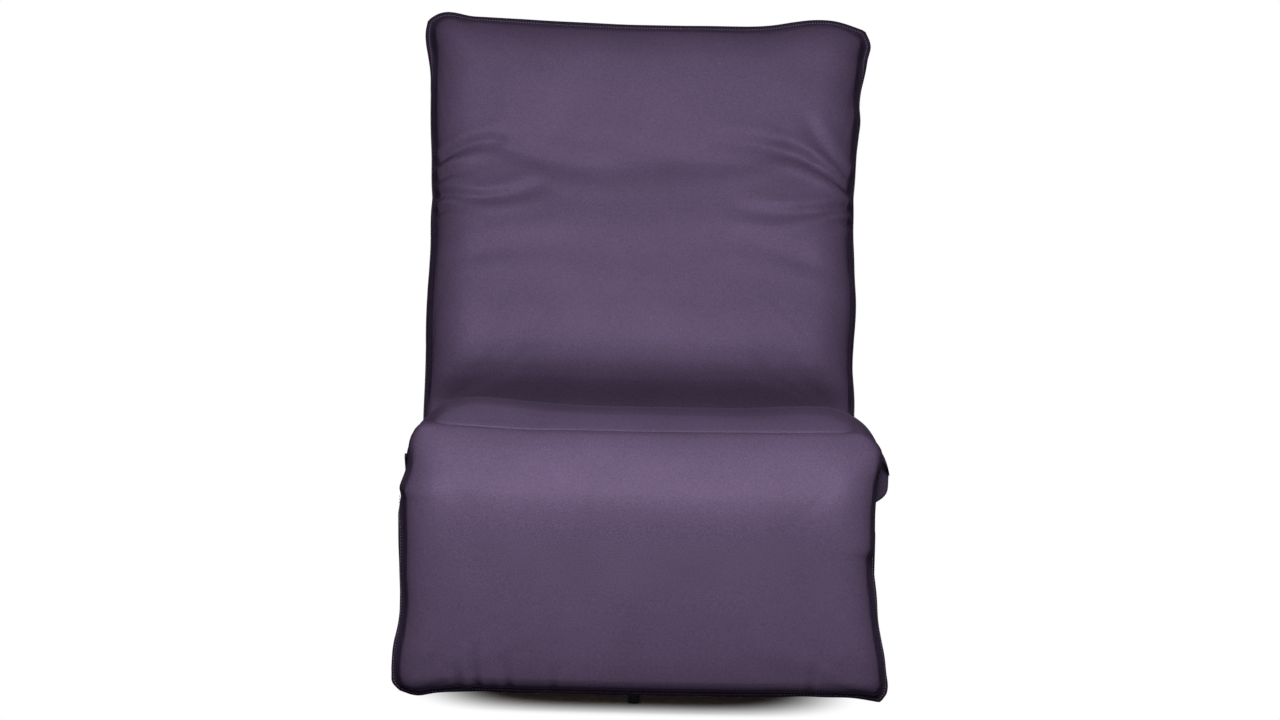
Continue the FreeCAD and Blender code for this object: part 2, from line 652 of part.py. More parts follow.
def base_rails():
    length = "rail_front + rail_rear"
    for side, word in SIDES:
        channel = [
            box(side_x(side, "base_plane", "plate_thickness"), "-rail_front", "rail_bottom",
                "plate_thickness", length, "rail_inner_top - rail_bottom"),
            box(side_x(side, "base_plane", "panel_inner - base_plane"), "-rail_front", "rail_bottom",
                "panel_inner - base_plane", length, "plate_thickness"),
            box(side_x(side, "panel_inner - plate_thickness", "plate_thickness"), "-rail_front",
                "rail_bottom", "plate_thickness", length, "rail_outer_top - rail_bottom")]
        holes = [rod_x(side_x(side, "panel_inner - plate_thickness", "plate_thickness"), y, z,
                       "bolt_radius", "plate_thickness", "rivet_sides") for y, z in bolt_places()[:2]]
        pins = pin(side, "base_plane", "base_front_y", "base_pivot_z")
        pins += pin(side, "base_plane", "base_rear_y", "base_pivot_z")
        node("base_rail_" + word, fuse([cut(fuse(channel), holes)] + pins))


def feet():
    for name, y in (("front_feet", "-front_foot_reach"), ("rear_feet", "rear_foot_back")):
        pair = []
        for side, _ in SIDES:
            x = "%d * (panel_inner + panel_thickness / 2)" % side
            pair.append(taper([(x, y, "0", "foot_tip_radius"), (x, y, "panel_bottom", "foot_radius")]))
        node(name, group(pair))
    glide = rod_z("0", "-front_tube_reach", "0", "support_radius", "support_height")
    stem = rod_z("0", "-front_tube_reach", "0", "support_stem", "tube_bottom")
    node("support_foot", fuse([glide, stem]))


# ---------------------------------------------------------------- swing links

def swing_links():
    for which in ("rear", "front"):
        low = ("base_%s_y" % which, "base_pivot_z", "swing_width / 2")
        high = ("seat_%s_y" % which, "seat_swing_z", "swing_width / 2")
        for side, word in SIDES:
            link = bar(side_x(side, "swing_plane", "plate_thickness"), "plate_thickness",
                       "swing_width", [low, high])
            link = cut(link, [bore(side, "swing_plane", low[0], low[1])])
            node("%s_swing_link_%s" % (which, word),
                 fuse([link] + pin(side, "swing_plane", high[0], high[1])))


# ---------------------------------------------------------------- seat

def seat_plates():
    eye = "plate_eye"
    points = [("front_pivot_y - " + eye, "plate_top"),
              ("back_pivot_y + plate_corner", "plate_top"),
              ("back_pivot_y + " + eye, "back_pivot_z + plate_corner"),
              ("seat_rear_y + lug_reach", "seat_swing_z"),
              ("seat_rear_y + lug_half_width", "seat_swing_z - " + eye),
              ("seat_rear_y - lug_half_width", "seat_swing_z - " + eye),
              ("seat_rear_y - lug_slope", "seat_swing_z + lug_rise"),
              ("seat_front_y + lug_slope", "seat_swing_z + lug_rise"),
              ("seat_front_y + lug_half_width", "seat_swing_z - " + eye),
              ("seat_front_y - lug_half_width", "seat_swing_z - " + eye),
              ("seat_front_y - lug_slope", "seat_swing_z + lug_rise"),
              ("rear_pivot_y - " + eye, "rear_pivot_z - " + eye),
              ("front_pivot_y - " + eye, "front_pivot_z - " + eye)]
    for side, word in SIDES:
        blank = plate(points, side_x(side, "seat_plate_inner", "plate_thickness"), "plate_thickness")
        holes = [bore(side, "seat_plate_inner", "seat_front_y", "seat_swing_z"),
                 bore(side, "seat_plate_inner", "seat_rear_y", "seat_swing_z"),
                 bore(side, "seat_plate_inner", "back_pivot_y", "back_pivot_z")]
        if side == LEFT:
            holes.append(bore(side, "seat_plate_inner", "-lever_reach", "lever_height",
                              "lever_shaft_radius + pin_running_gap"))
        pins = pin(side, "seat_plate_inner", "front_pivot_y", "front_pivot_z")
        pins += pin(side, "seat_plate_inner", "rear_pivot_y", "rear_pivot_z")
        node("seat_plate_" + word, fuse([cut(blank, holes)] + pins))


def seat_frame():
    width = "seat_rail_width"
    for side, word in SIDES:
        rail = box(side_x(side, "seat_rail_inner", width), "-seat_rail_front", "seat_rail_bottom",
                   width, "seat_rail_front + seat_rail_rear", "seat_rail_height")
        recess = "pin_head_thickness + soft_gap"
        holes = [rod_x(side_x(side, "seat_rail_inner", recess), "front_pivot_y", "front_pivot_z",
                       "pin_head_radius + soft_gap", recess)]
        if side == LEFT:
            holes.append(hole_x(side_x(side, "seat_rail_inner", width), "-lever_reach", "lever_height",
                                "lever_shaft_radius + pin_running_gap", width))
        node("seat_rail_" + word, cut(rail, holes))
    node("seat_rail_front", box("-seat_rail_inner", "-seat_rail_front", "seat_rail_bottom",
                                "2 * seat_rail_inner", width, "seat_rail_height"))
    node("seat_rail_rear", box("-seat_plate_inner", "seat_rail_rear - " + width, "seat_rail_bottom",
                               "2 * seat_plate_inner", width, "seat_rail_height"))


def zigzag(middle, start, end, level):
    """One sinuous spring: a square wave of wire with mitred corners, its middle at `level`."""
    half_wire = value("spring_wire") / 2
    half_width = value("spring_width") / 2 - half_wire
    turns = 2 * int(round(value("spring_waves")))
    step = (end - start) / turns
    path = [Vector(middle, start, 0), Vector(middle, start + step / 2, 0)]
    for turn in range(turns - 1):
        x = middle + half_width * (1 if turn % 2 else -1)
        path.append(Vector(x, start + (turn + 0.5) * step, 0))
        path.append(Vector(x, start + (turn + 1.5) * step, 0))
    path += [Vector(middle, end - step / 2, 0), Vector(middle, end, 0)]
    left, right = [], []
    for index, point in enumerate(path):
        normals = []
        for first, last in ((index - 1, index), (index, index + 1)):
            if first >= 0 and last < len(path):
                run = (path[last] - path[first]).normalize()
                normals.append(Vector(-run.y, run.x, 0))
        offset = normals[0] if len(normals) == 1 else normals[0] + normals[1]
        left.append(point + offset * half_wire)
        right.append(point - offset * half_wire)
    ring = left + right[::-1]
    face = Part.Face(Part.makePolygon(ring + ring[:1]))
    face.translate(Vector(0, 0, level - half_wire))
    return face.extrude(Vector(0, 0, 2 * half_wire))


def seat_springs():
    clip = value("clip_length")
    size = value("clip_size")
    front = -value("seat_rail_front - seat_rail_width")
    rear = value("seat_rail_rear - seat_rail_width")
    level = value("seat_rail_top - spring_level")
    count = int(round(value("spring_count")))
    wires, clips = [], []
    for index in range(count):
        middle = (index - (count - 1) / 2) * value("spring_pitch")
        wires.append(zigzag(middle, front + clip, rear - clip, level))
        for y in (front, rear - clip):
            corner = Vector(middle - size / 2, y, level - size / 2)
            clips.append(Part.makeBox(size, clip, size, corner))
    for name, shapes in (("seat_springs", wires), ("spring_clips", clips)):
        piece = doc.addObject("Part::Feature", "Sprung")
        piece.Shape = Part.makeCompound(shapes)
        node(name, piece)


def seat_cushion():
    profile = [("-seat_front", "seat_skirt_bottom"),
               ("seat_rear - skirt_corner", "seat_skirt_bottom"),
               ("seat_rear", "seat_skirt_bottom + skirt_corner"),
               ("seat_rear", "seat_crest - tail_drop"),
               ("seat_rear - hip_inset", "seat_crest - hip_drop"),
               ("dish_back", "seat_crest - dish_drop"),
               ("-crown_reach", "seat_crest + seat_crown"), ("-brow_reach", "seat_crest + brow_rise"),
               ("-slope_reach", "seat_crest - slope_drop"), ("-footrest_face", "nose_bottom + nose_tip"),
               ("-footrest_face", "nose_bottom"), ("-seat_front", "nose_bottom")]
    turns = [("0", "seat_skirt_bottom"), ("0", "seat_crest - side_drop"),
             ("shoulder_inset", "seat_crest - shoulder_drop"), ("turn_inset", "seat_crest - turn_drop"),
             ("flat_inset", "seat_crest + flat_rise"), ("flat_inset", "seat_crest + seat_crown")]
    shoulders = [("seat_half_width - " + inset, level) for inset, level in turns]
    shoulders += [(inset + " - seat_half_width", level) for inset, level in reversed(turns)]
    body = doc.addObject("Part::MultiCommon", "Cushion")
    body.Shapes = [plate(profile, "-seat_half_width", "2 * seat_half_width"),
                   front_plate(shoulders, "seat_rear", "footrest_face + seat_rear")]
    hollow = box("-(seat_rail_outer + soft_gap)", "-seat_front", "seat_skirt_bottom",
                 "2 * (seat_rail_outer + soft_gap)", "seat_front + seat_rear",
                 "seat_rail_top - seat_skirt_bottom")
    notch = box("-seat_half_width", "-lever_reach - coil_radius", "seat_skirt_bottom",
                "seat_half_width - seat_rail_outer", "2 * coil_radius",
                "lever_height + coil_radius - seat_skirt_bottom")
    node("seat_cushion", cut(body, [hollow, notch]))


# ---------------------------------------------------------------- release lever

def release_lever():
    shaft_y, shaft_z = "-lever_reach", "lever_height"
    washer = "plate_space / 2"
    coil_inner = "link_plane - plate_side_gap - coil_length"
    end = "link_plane - coil_length - plate_space"
    length = "lever_inner + lever_thickness - (%s)" % end
    blade = bar(side_x(LEFT, "lever_inner", "lever_thickness"), "lever_thickness", "2 * lever_tip_radius",
                [(shaft_y, shaft_z, "lever_hub_radius"),
                 ("-lever_reach - lever_tip_reach", "lever_height + lever_tip_rise", "lever_tip_radius")])
    node("lever_handle", cut(blade, [rod_x(side_x(LEFT, "lever_inner", "lever_thickness"), shaft_y, shaft_z,
                                           "lever_shaft_radius", "lever_thickness")]))
    node("lever_shaft", fuse([
        rod_x(side_x(LEFT, end, length), shaft_y, shaft_z, "lever_shaft_radius", length),
        rod_x(side_x(LEFT, end, washer), shaft_y, shaft_z, "coil_radius", washer)]))
    kicker = bar(side_x(LEFT, "link_plane", "plate_thickness"), "plate_thickness", "2 * kicker_nose",
                 [(shaft_y, shaft_z, "lever_hub_radius"),
                  ("-lever_reach + kicker_length * sin(kicker_lean * 1deg)",
                   "lever_height - kicker_length * cos(kicker_lean * 1deg)", "kicker_nose")])
    hole = rod_x(side_x(LEFT, "link_plane", "plate_thickness"), shaft_y, shaft_z,
                 "lever_shaft_radius", "plate_thickness")
    node("lever_kicker", cut(kicker, [hole]))
    coil = rod_x(side_x(LEFT, coil_inner, "coil_length"), shaft_y, shaft_z, "coil_radius", "coil_length")
    node("lever_return_spring", cut(coil, [rod_x(side_x(LEFT, coil_inner, "coil_length"), shaft_y, shaft_z,
                                                 "coil_radius - coil_wire", "coil_length")]))


# ---------------------------------------------------------------- footrest linkage

def front_links():
    eye = "eye_radius"
    stations = [("front_pivot_y", "front_pivot_z", eye), ("high_joint_y", "high_joint_z", eye),
                ("low_joint_y", "low_joint_z", eye)]
    for side, word in SIDES:
        link = bar(side_x(side, "link_plane", "plate_thickness"), "plate_thickness", "link_width", stations)
        link = cut(link, [bore(side, "link_plane", "front_pivot_y", "front_pivot_z")])
        pins = pin(side, "link_plane", "high_joint_y", "high_joint_z")
        pins += pin(side, "link_plane", "low_joint_y", "low_joint_z")
        node("front_footrest_link_" + word, fuse([link] + pins))
    node("torque_tube", rod_x("-link_plane", "torque_y", "torque_z", "torque_radius", "2 * link_plane"))


def rear_links():
    eye = "eye_radius"
    for side, word in SIDES:
        link = bar(side_x(side, "link_plane", "plate_thickness"), "plate_thickness", "link_width",
                   [("rear_pivot_y", "rear_pivot_z", eye), ("rear_joint_y", "rear_joint_z", eye)])
        link = cut(link, [bore(side, "link_plane", "rear_pivot_y", "rear_pivot_z")])
        node("rear_footrest_link_" + word,
             fuse([link] + pin(side, "link_plane", "rear_joint_y", "rear_joint_z")))


def lower_links():
    eye = "eye_radius"
    for side, word in SIDES:
        link = bar(side_x(side, "arm_plane", "plate_thickness"), "plate_thickness", "link_width",
                   [("rear_joint_y", "rear_joint_z", eye), ("low_joint_y", "low_joint_z", eye),
                    ("low_bracket_y", "low_bracket_z", eye)])
        link = cut(link, [bore(side, "arm_plane", "rear_joint_y", "rear_joint_z"),
                          bore(side, "arm_plane", "low_joint_y", "low_joint_z")])
        node("lower_footrest_link_" + word,
             fuse([link] + pin(side, "arm_plane", "low_bracket_y", "low_bracket_z")))


def upper_links():
    eye = "eye_radius"
    for side, word in SIDES:
        link = bar(side_x(side, "arm_plane", "plate_thickness"), "plate_thickness", "link_width",
                   [("high_joint_y", "high_joint_z", eye), ("high_bracket_y", "high_bracket_z", eye)])
        link = cut(link, [bore(side, "arm_plane", "high_joint_y", "high_joint_z")])
        node("upper_footrest_link_" + word,
             fuse([link] + pin(side, "arm_plane", "high_bracket_y", "high_bracket_z")))


def footrest():
    eye = "eye_radius"
    margin = "bracket_margin"
    points = [("-board_rear", "low_bracket_z - " + margin),
              ("low_bracket_y", "low_bracket_z - " + margin),
              ("low_bracket_y + bracket_heel", "low_bracket_z - " + eye),
              ("low_bracket_y + bracket_heel", "low_bracket_z + " + eye),
              ("high_bracket_y + bracket_heel", "high_bracket_z + " + eye),
              ("high_bracket_y", "high_bracket_z + " + margin),
              ("-board_rear", "high_bracket_z + " + margin)]
    height = "high_bracket_z - low_bracket_z + 2 * " + margin
    screws = []
    for side, word in SIDES:
        web = plate(points, side_x(side, "bracket_plane", "plate_thickness"), "plate_thickness")
        inner = "bracket_plane + plate_thickness - bracket_flange"
        flange = box(side_x(side, inner, "bracket_flange"), "-board_rear",
                     "low_bracket_z - " + margin, "bracket_flange", "bracket_flange_thickness", height)
        holes = [bore(side, "bracket_plane", "low_bracket_y", "low_bracket_z"),
                 bore(side, "bracket_plane", "high_bracket_y", "high_bracket_z")]
        for z in ("low_bracket_z", "high_bracket_z"):
            x = "%d * (%s + screw_inset)" % (side, inner)
            shank = rod_y(x, "-board_rear - screw_depth", z, "screw_radius",
                          "bracket_flange_thickness + screw_depth")
            head = rod_y(x, "-board_rear + bracket_flange_thickness", z, "screw_head_radius",
                         "screw_head_height")
            holes.append(rod_y(x, "-board_rear", z, "screw_radius", "bracket_flange_thickness"))
            screws.append((x, z, fuse([shank, head])))
        node("footrest_bracket_" + word, cut(fuse([web, flange]), holes))
    board = box("-board_half_width", "-board_rear - board_thickness", "board_bottom",
                "2 * board_half_width", "board_thickness", "board_top - board_bottom")
    pilot = [rod_y(x, "-board_rear - screw_depth", z, "screw_radius", "screw_depth")
             for x, z, _ in screws]
    node("footrest_board", cut(board, pilot))
    node("footrest_screws", group([screw for _, _, screw in screws]))
    footrest_pad()


def footrest_pad():
    body = doc.addObject("PartDesign::Body", "FootrestPad")
    slab = body.newObject("PartDesign::AdditiveBox", "FootrestSlab")
    bind(slab, Length="2 * footrest_half_width", Width="footrest_pad_thickness",
         Height="seam_height - footrest_bottom")
    body.Tip = slab

    def bottom_corner(edge):
        return along(edge, Vector(0, 1, 0)) and edge.CenterOfMass.z < SAME_PLACE
    round_edges(body, "footrest_corner", bottom_corner)

    def front_rim(edge):
        middle = edge.CenterOfMass
        below_top = middle.z < value("seam_height - footrest_bottom") - SAME_PLACE
        return abs(middle.y) < SAME_PLACE and below_top
    round_edges(body, "footrest_round", front_rim)
    node("footrest_pad", put(body, "-footrest_half_width", "-footrest_face", "footrest_bottom"))


# ---------------------------------------------------------------- back

def back_straps():
    """Steel straps from the back pivot up the stiles to the headrest hinge."""
    thick = "plate_thickness"
    for side, word in SIDES:
        x = side_x(side, "strap_inner", thick)
        strap = [lean_box(x, "-strap_width / 2", "0", thick, "strap_width", "hinge_up"),
                 rod_x(x, "back_pivot_y", "back_pivot_z", "strap_width / 2", thick),
                 rod_x(x, "hinge_y", "hinge_z", "hinge_eye", thick)]
        pins = pin(side, "strap_inner", "back_pivot_y", "back_pivot_z")
        pins += pin(side, "strap_inner", "hinge_y", "hinge_z")
        node("back_strap_" + word, fuse(strap + pins))


def back_frame():
    depth = "2 * frame_half_depth"
    for side, word in SIDES:
        node("back_stile_" + word,
             lean_box(side_x(side, "stile_outer - stile_width", "stile_width"), "-frame_half_depth",
                      "stile_bottom", "stile_width", depth, "stile_top - stile_bottom"))
    for word, up in (("bottom", "back_rail_up"), ("top", "stile_top - back_rail_height")):
        node("back_rail_" + word, lean_box("-strap_inner", "-frame_half_depth", up,
                                           "2 * strap_inner", depth, "back_rail_height"))
    bands = []
    for index in range(int(round(value("web_count")))):
        bands.append(lean_box("-stile_outer", "-frame_half_depth - web_thickness",
                              "web_first + %d * web_pitch - web_width / 2" % index,
                              "2 * stile_outer", "web_thickness", "web_width"))
    node("back_webbing", group(bands))


def round_sides(shape):
    """Takes the front corners off the sides of a back or headrest cushion."""
    half = value("back_half_width")
    wide = value("ear_reach") + CUT_PAST
    seam = -value("crown_depth")
    turns = [(half - value("side_turn_inset"), -value("side_turn_depth")),
             (half - value("side_round_inset"), -value("side_round_depth")),
             (half - value("side_round_inset"), -value("lumbar_depth") - CUT_PAST)]
    right = [(wide, value("back_panel_rear")), (wide, seam), (half, seam)] + turns
    corners = [Vector(x, depth, -CUT_PAST) for x, depth in right]
    corners += [Vector(-x, depth, -CUT_PAST) for x, depth in reversed(right)]
    plan = Part.Face(Part.makePolygon(corners + corners[:1]))
    return shape.common(plan.extrude(Vector(0, 0, value("headrest_top") + 2 * CUT_PAST)))


def back_cushion():
    half = value("back_half_width")
    front = -value("back_depth")
    chin = -value("chin_depth")
    hinge = value("hinge_up")
    radius = value("back_depth + knuckle_gap")
    turn = math.radians(value("headrest_range"))
    rear = value("frame_half_depth")
    face = -value("frame_half_depth + web_thickness")
    bottom = value("back_bottom")
    top = value("back_panel_top")
    start = bottom + value("front_rise")

    def at(depth, up):
        return Vector(0, depth, up)
    tangent = at(-radius * math.cos(turn), hinge - radius * math.sin(turn))
    reach = (value("lip_depth") + tangent.y) / math.sin(turn)
    lip = at(tangent.y - reach * math.sin(turn), tangent.z + reach * math.cos(turn))
    low = at(face, hinge - math.sqrt(radius ** 2 - face ** 2))
    middle_turn = (turn + math.acos(-face / radius)) / 2
    middle = at(-radius * math.cos(middle_turn), hinge - radius * math.sin(middle_turn))
    swell = at(-value("lumbar_depth"), value("lumbar_up"))
    edges = chain([at(rear, bottom), at(chin, bottom + value("chin_rise")), at(front, start)])
    edges += [Part.Arc(at(front, start), swell, lip).toShape(), Part.makeLine(lip, tangent),
              Part.Arc(tangent, middle, low).toShape()]
    edges += chain([low, at(face, top), at(rear, top), at(rear, bottom)])
    shape = side_profile(edges, half)
    inner = value("stile_outer + frame_gap")
    pocket = Part.makeBox(2 * inner, rear - face + CUT_PAST, top, Vector(-inner, face, 0))
    node("back_cushion", lean_feature(round_sides(shape.cut(pocket))))


def back_rear_panel():
    node("back_rear_panel",
         lean_box("-rear_panel_half_width", "frame_half_depth", "back_bottom",
                  "2 * rear_panel_half_width", "back_panel_rear - frame_half_depth",
                  "back_panel_top - back_bottom"))


# ---------------------------------------------------------------- headrest

def headrest_frame():
    thick = "plate_thickness"
    for side, word in SIDES:
        x = side_x(side, "arm_inner", thick)
        arm = [lean_box(x, "-arm_width / 2", "hinge_up", thick, "arm_width", "arm_top - hinge_up"),
               rod_x(x, "hinge_y", "hinge_z", "hinge_eye", thick)]
        node("headrest_arm_" + word, cut(fuse(arm), [bore(side, "arm_inner", "hinge_y", "hinge_z")]))
    node("headrest_board", lean_box("-arm_inner", "-headboard_half_depth", "headboard_bottom",
                                    "2 * arm_inner", "2 * headboard_half_depth",
                                    "headboard_top - headboard_bottom"))
    node("headrest_rear_panel",
         lean_box("-rear_panel_half_width", "headboard_half_depth", "headrest_wrap",
                  "2 * rear_panel_half_width", "back_panel_rear - headboard_half_depth",
                  "headrest_panel_top - headrest_wrap"))


def headrest_front_view(depth_from, depth_to):
    """Front outline with its ears and dipped top edge, made solid through the depth."""
    half = value("back_half_width")
    ear = value("ear_reach")
    top = value("headrest_top")
    dip = value("headrest_dip")
    side_low = value("hinge_up - back_depth")
    ear_start = top - value("ear_length")
    bow = value("ear_bow")
    bow_up = top - value("ear_bow_drop")
    corner = value("ear_corner")
    corner_in = corner * (1 - math.cos(math.radians(45)))

    def at(x, up):
        return Vector(x, depth_from, up)
    edges = []
    for sign in (1, -1):
        tip = at(sign * ear, top - corner)
        edges.append(Part.makeLine(at(sign * half, side_low), at(sign * half, ear_start)))
        edges.append(Part.Arc(at(sign * half, ear_start), at(sign * (half + bow), bow_up), tip).toShape())
        edges.append(Part.Arc(tip, at(sign * (ear - corner_in), top - corner_in),
                              at(sign * (ear - corner), top)).toShape())
    edges.append(Part.Arc(at(-(ear - corner), top), at(0, top - dip), at(ear - corner, top)).toShape())
    edges.append(Part.makeLine(at(-half, side_low), at(half, side_low)))
    face = Part.Face(Part.Wire(Part.sortEdges(edges)[0]))
    return face.extrude(Vector(0, depth_to - depth_from, 0))


def headrest_cushion():
    front = -value("back_depth")
    hinge = value("hinge_up")
    radius = value("back_depth")
    rear = value("headboard_half_depth")
    wrap = value("headrest_wrap")
    top = value("headrest_top")
    inside = -value("frame_half_depth + web_thickness + fold_gap")
    turn = math.radians(value("headrest_range"))

    def at(depth, up):
        return Vector(0, depth, up)
    # the knuckle ends where it would meet the frame when the headrest is fully tilted
    drop = math.sqrt(radius ** 2 - inside ** 2)
    low = at(inside * math.cos(turn) - drop * math.sin(turn),
             hinge - inside * math.sin(turn) - drop * math.cos(turn))
    knee_run = inside * (1 - math.cos(turn)) / math.sin(turn)
    knee = at(inside, hinge - inside * math.sin(turn) + knee_run * math.cos(turn))
    middle_turn = (math.acos(-inside / radius) - turn) / 2
    middle = at(-radius * math.cos(middle_turn), hinge - radius * math.sin(middle_turn))
    shoulder = at(-value("crown_shoulder_depth"), top - value("crown_shoulder_drop"))
    crest = at(-value("crown_depth"), top)
    brow = at(front, top - value("crown_drop"))
    nape = at(rear, top - value("crown_rear_drop"))
    edges = [Part.makeLine(nape, crest), Part.Arc(brow, shoulder, crest).toShape(),
             Part.makeLine(brow, at(front, hinge)), Part.Arc(at(front, hinge), middle, low).toShape()]
    edges += chain([low, knee, at(inside, wrap), at(rear, wrap), nape])
    front_view = headrest_front_view(front - CUT_PAST, rear + CUT_PAST)
    shape = side_profile(edges, value("ear_reach") + CUT_PAST).common(front_view)
    inner = value("strap_inner + plate_thickness + plate_space / 2 + frame_gap")
    pocket_front = -value("hinge_eye") - CUT_PAST
    pocket = Part.makeBox(2 * inner, rear - pocket_front + CUT_PAST,
                          value("headboard_top") + CUT_PAST, Vector(-inner, pocket_front, 0))
    node("headrest_cushion", lean_feature(round_sides(shape.cut(pocket))))


# ---------------------------------------------------------------- the whole chair

def check_and_write():
    doc.recompute()
    for item in doc.Objects:
        if "Invalid" in item.State or "Error" in item.State:
            raise RuntimeError("%s (%s) did not build: %s" % (item.Name, item.Label, item.State))
    labels = [piece.Label for piece in NODES]
    if len(set(labels)) != len(labels):
        raise RuntimeError("two pieces share a label")
    for piece in NODES:
        if piece.Shape.isNull() or not piece.Shape.isValid() or piece.Shape.Volume <= 0:
            raise RuntimeError("%s has no valid solid" % piece.Label)
    os.makedirs("parts", exist_ok=True)
    for piece in NODES:
        piece.Shape.exportStep("parts/%s.step" % piece.Label)
    print("%d pieces" % len(NODES))


fill_sheets()
side_panels()
rear_panel()
panel_bolts()
cross_tubes()
base_rails()
feet()
swing_links()
seat_plates()
seat_frame()
seat_springs()
seat_cushion()
release_lever()
front_links()
rear_links()
lower_links()
upper_links()
footrest()
back_straps()
back_frame()
back_cushion()
back_rear_panel()
headrest_frame()
headrest_cushion()
check_and_write()
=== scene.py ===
"""Armless recliner: padded covers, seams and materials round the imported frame, in metres."""
import bpy
import json
import math
import numpy as np
from mathutils import Matrix, Vector
from mathutils.kdtree import KDTree


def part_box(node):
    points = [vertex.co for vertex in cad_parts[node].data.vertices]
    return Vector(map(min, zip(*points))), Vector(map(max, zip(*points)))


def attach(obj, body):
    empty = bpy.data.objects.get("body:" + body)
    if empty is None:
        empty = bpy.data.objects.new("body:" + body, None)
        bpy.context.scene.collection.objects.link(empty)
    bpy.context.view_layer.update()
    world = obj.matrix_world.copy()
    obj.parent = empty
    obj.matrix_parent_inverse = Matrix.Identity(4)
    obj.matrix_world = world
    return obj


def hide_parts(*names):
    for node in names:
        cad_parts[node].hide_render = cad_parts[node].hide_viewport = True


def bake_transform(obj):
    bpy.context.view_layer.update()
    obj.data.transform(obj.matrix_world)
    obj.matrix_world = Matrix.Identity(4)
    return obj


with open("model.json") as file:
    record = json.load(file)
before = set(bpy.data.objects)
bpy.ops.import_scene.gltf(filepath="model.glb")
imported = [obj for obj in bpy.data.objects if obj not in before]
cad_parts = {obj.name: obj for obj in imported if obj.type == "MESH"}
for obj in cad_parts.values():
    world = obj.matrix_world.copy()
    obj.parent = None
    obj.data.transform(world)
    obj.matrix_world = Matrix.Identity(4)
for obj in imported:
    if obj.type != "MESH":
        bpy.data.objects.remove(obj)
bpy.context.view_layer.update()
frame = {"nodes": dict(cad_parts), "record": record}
scene = bpy.context.scene

LEAN = math.radians(15)            # of the back, behind the vertical
BACK_Y, BACK_Z = 0.208, 0.300      # pivot of the back
SEAM_Y, SEAM_Z = -0.425, 0.432     # seam between seat and footrest pad
TINY = 1e-12


# ---------------------------------------------------------------- shapes

def through(keys, at):
    """Values at the places given of the smooth curve through (place, value) keys."""
    k = np.array(sorted(keys), float)
    x, y = k[:, 0], k[:, 1]
    slope = np.gradient(y, x)
    at = np.asarray(at, float)
    i = np.clip(np.searchsorted(x, at) - 1, 0, len(x) - 2)
    h = x[i + 1] - x[i]
    t = np.clip((at - x[i]) / h, 0, 1)
    a = (2 * t ** 3 - 3 * t ** 2 + 1) * y[i] + (t ** 3 - 2 * t ** 2 + t) * h * slope[i]
    return a + (3 * t ** 2 - 2 * t ** 3) * y[i + 1] + (t ** 3 - t ** 2) * h * slope[i + 1]


def back_place(p):
    """Rows of (x, depth behind the frame's middle, height up the back) in the row frame."""
    c, s = math.cos(LEAN), math.sin(LEAN)
    p = np.asarray(p, float)
    return np.stack([p[..., 0], BACK_Y + p[..., 1] * c + p[..., 2] * s,
                     BACK_Z + p[..., 2] * c - p[..., 1] * s], -1)


def back_flat_of(p):
    """The inverse of back_place."""
    c, s = math.cos(LEAN), math.sin(LEAN)
    y, z = p[..., 1] - BACK_Y, p[..., 2] - BACK_Z
    return np.stack([p[..., 0], y * c - z * s, y * s + z * c], -1)


def upright(p):
    """Rows of (x, y, z) as they are."""
    return np.asarray(p, float)


def side_place(side):
    """Rows of (along y, inward from the side, z) for a panel on that side."""
    def place(p):
        p = np.asarray(p, float)
        return np.stack([-side * p[..., 1], p[..., 0], p[..., 2]], -1)
    return place


def rise(distance, reach, power=2.2):
    """Rounded rise of padding from its seam, 0 at the seam and 1 from reach inward."""
    q = np.clip(distance / reach, 0, 1)
    return (1 - (1 - q) ** power) ** (1 / power)


def resample(points, count):
    """That many points evenly along a polyline."""
    points = np.asarray(points, float)
    step = np.linalg.norm(np.diff(points, axis=0), axis=1)
    along = np.concatenate([[0], np.cumsum(step)])
    want = np.linspace(0, along[-1], count)
    return np.stack([np.interp(want, along, points[:, k]) for k in range(points.shape[1])], -1)


def unit(rows, tiny=0.0):
    """Rows scaled to length 1."""
    return rows / (np.linalg.norm(rows, axis=1)[:, None] + tiny)


def smooth_round(out, passes):
    """Unit directions round a closed line, smoothed along it."""
    out = unit(out, TINY)
    for _ in range(passes):
        out = unit(out + 0.5 * (np.roll(out, 1, 0) + np.roll(out, -1, 0)), TINY)
    return out


def smooth_along(out, passes=8):
    """Unit directions along an open line, smoothed between its ends."""
    out = unit(out)
    for _ in range(passes):
        out[1:-1] = out[1:-1] + 0.5 * (out[:-2] + out[2:])
        out = unit(out)
    return out


def patch(left, right, bottom, top):
    """Grid of points inside four edge curves that share their corners."""
    n, m = len(bottom), len(left)
    s = np.linspace(0, 1, n)[:, None, None]
    t = np.linspace(0, 1, m)[None, :, None]
    p = (1 - t) * bottom[:, None] + t * top[:, None] + (1 - s) * left[None] + s * right[None]
    return p - ((1 - s) * (1 - t) * bottom[0] + s * (1 - t) * bottom[-1]
                + (1 - s) * t * top[0] + s * t * top[-1])


def mesh_object(name, points, faces, smooth=True):
    """A new object in the scene, smooth-shaded unless told otherwise."""
    mesh = bpy.data.meshes.new(name)
    mesh.from_pydata([tuple(p) for p in points], [], faces)
    mesh.update()
    obj = bpy.data.objects.new(name, mesh)
    scene.collection.objects.link(obj)
    if smooth:
        mesh.polygons.foreach_set("use_smooth", [True] * len(mesh.polygons))
    return obj


def ring_of(n, m):
    """Indices of a grid's outer points, once round."""
    ring = [(i, 0) for i in range(n)] + [(n - 1, j) for j in range(1, m)]
    ring += [(i, m - 1) for i in range(n - 2, -1, -1)] + [(0, j) for j in range(m - 2, 0, -1)]
    return ring


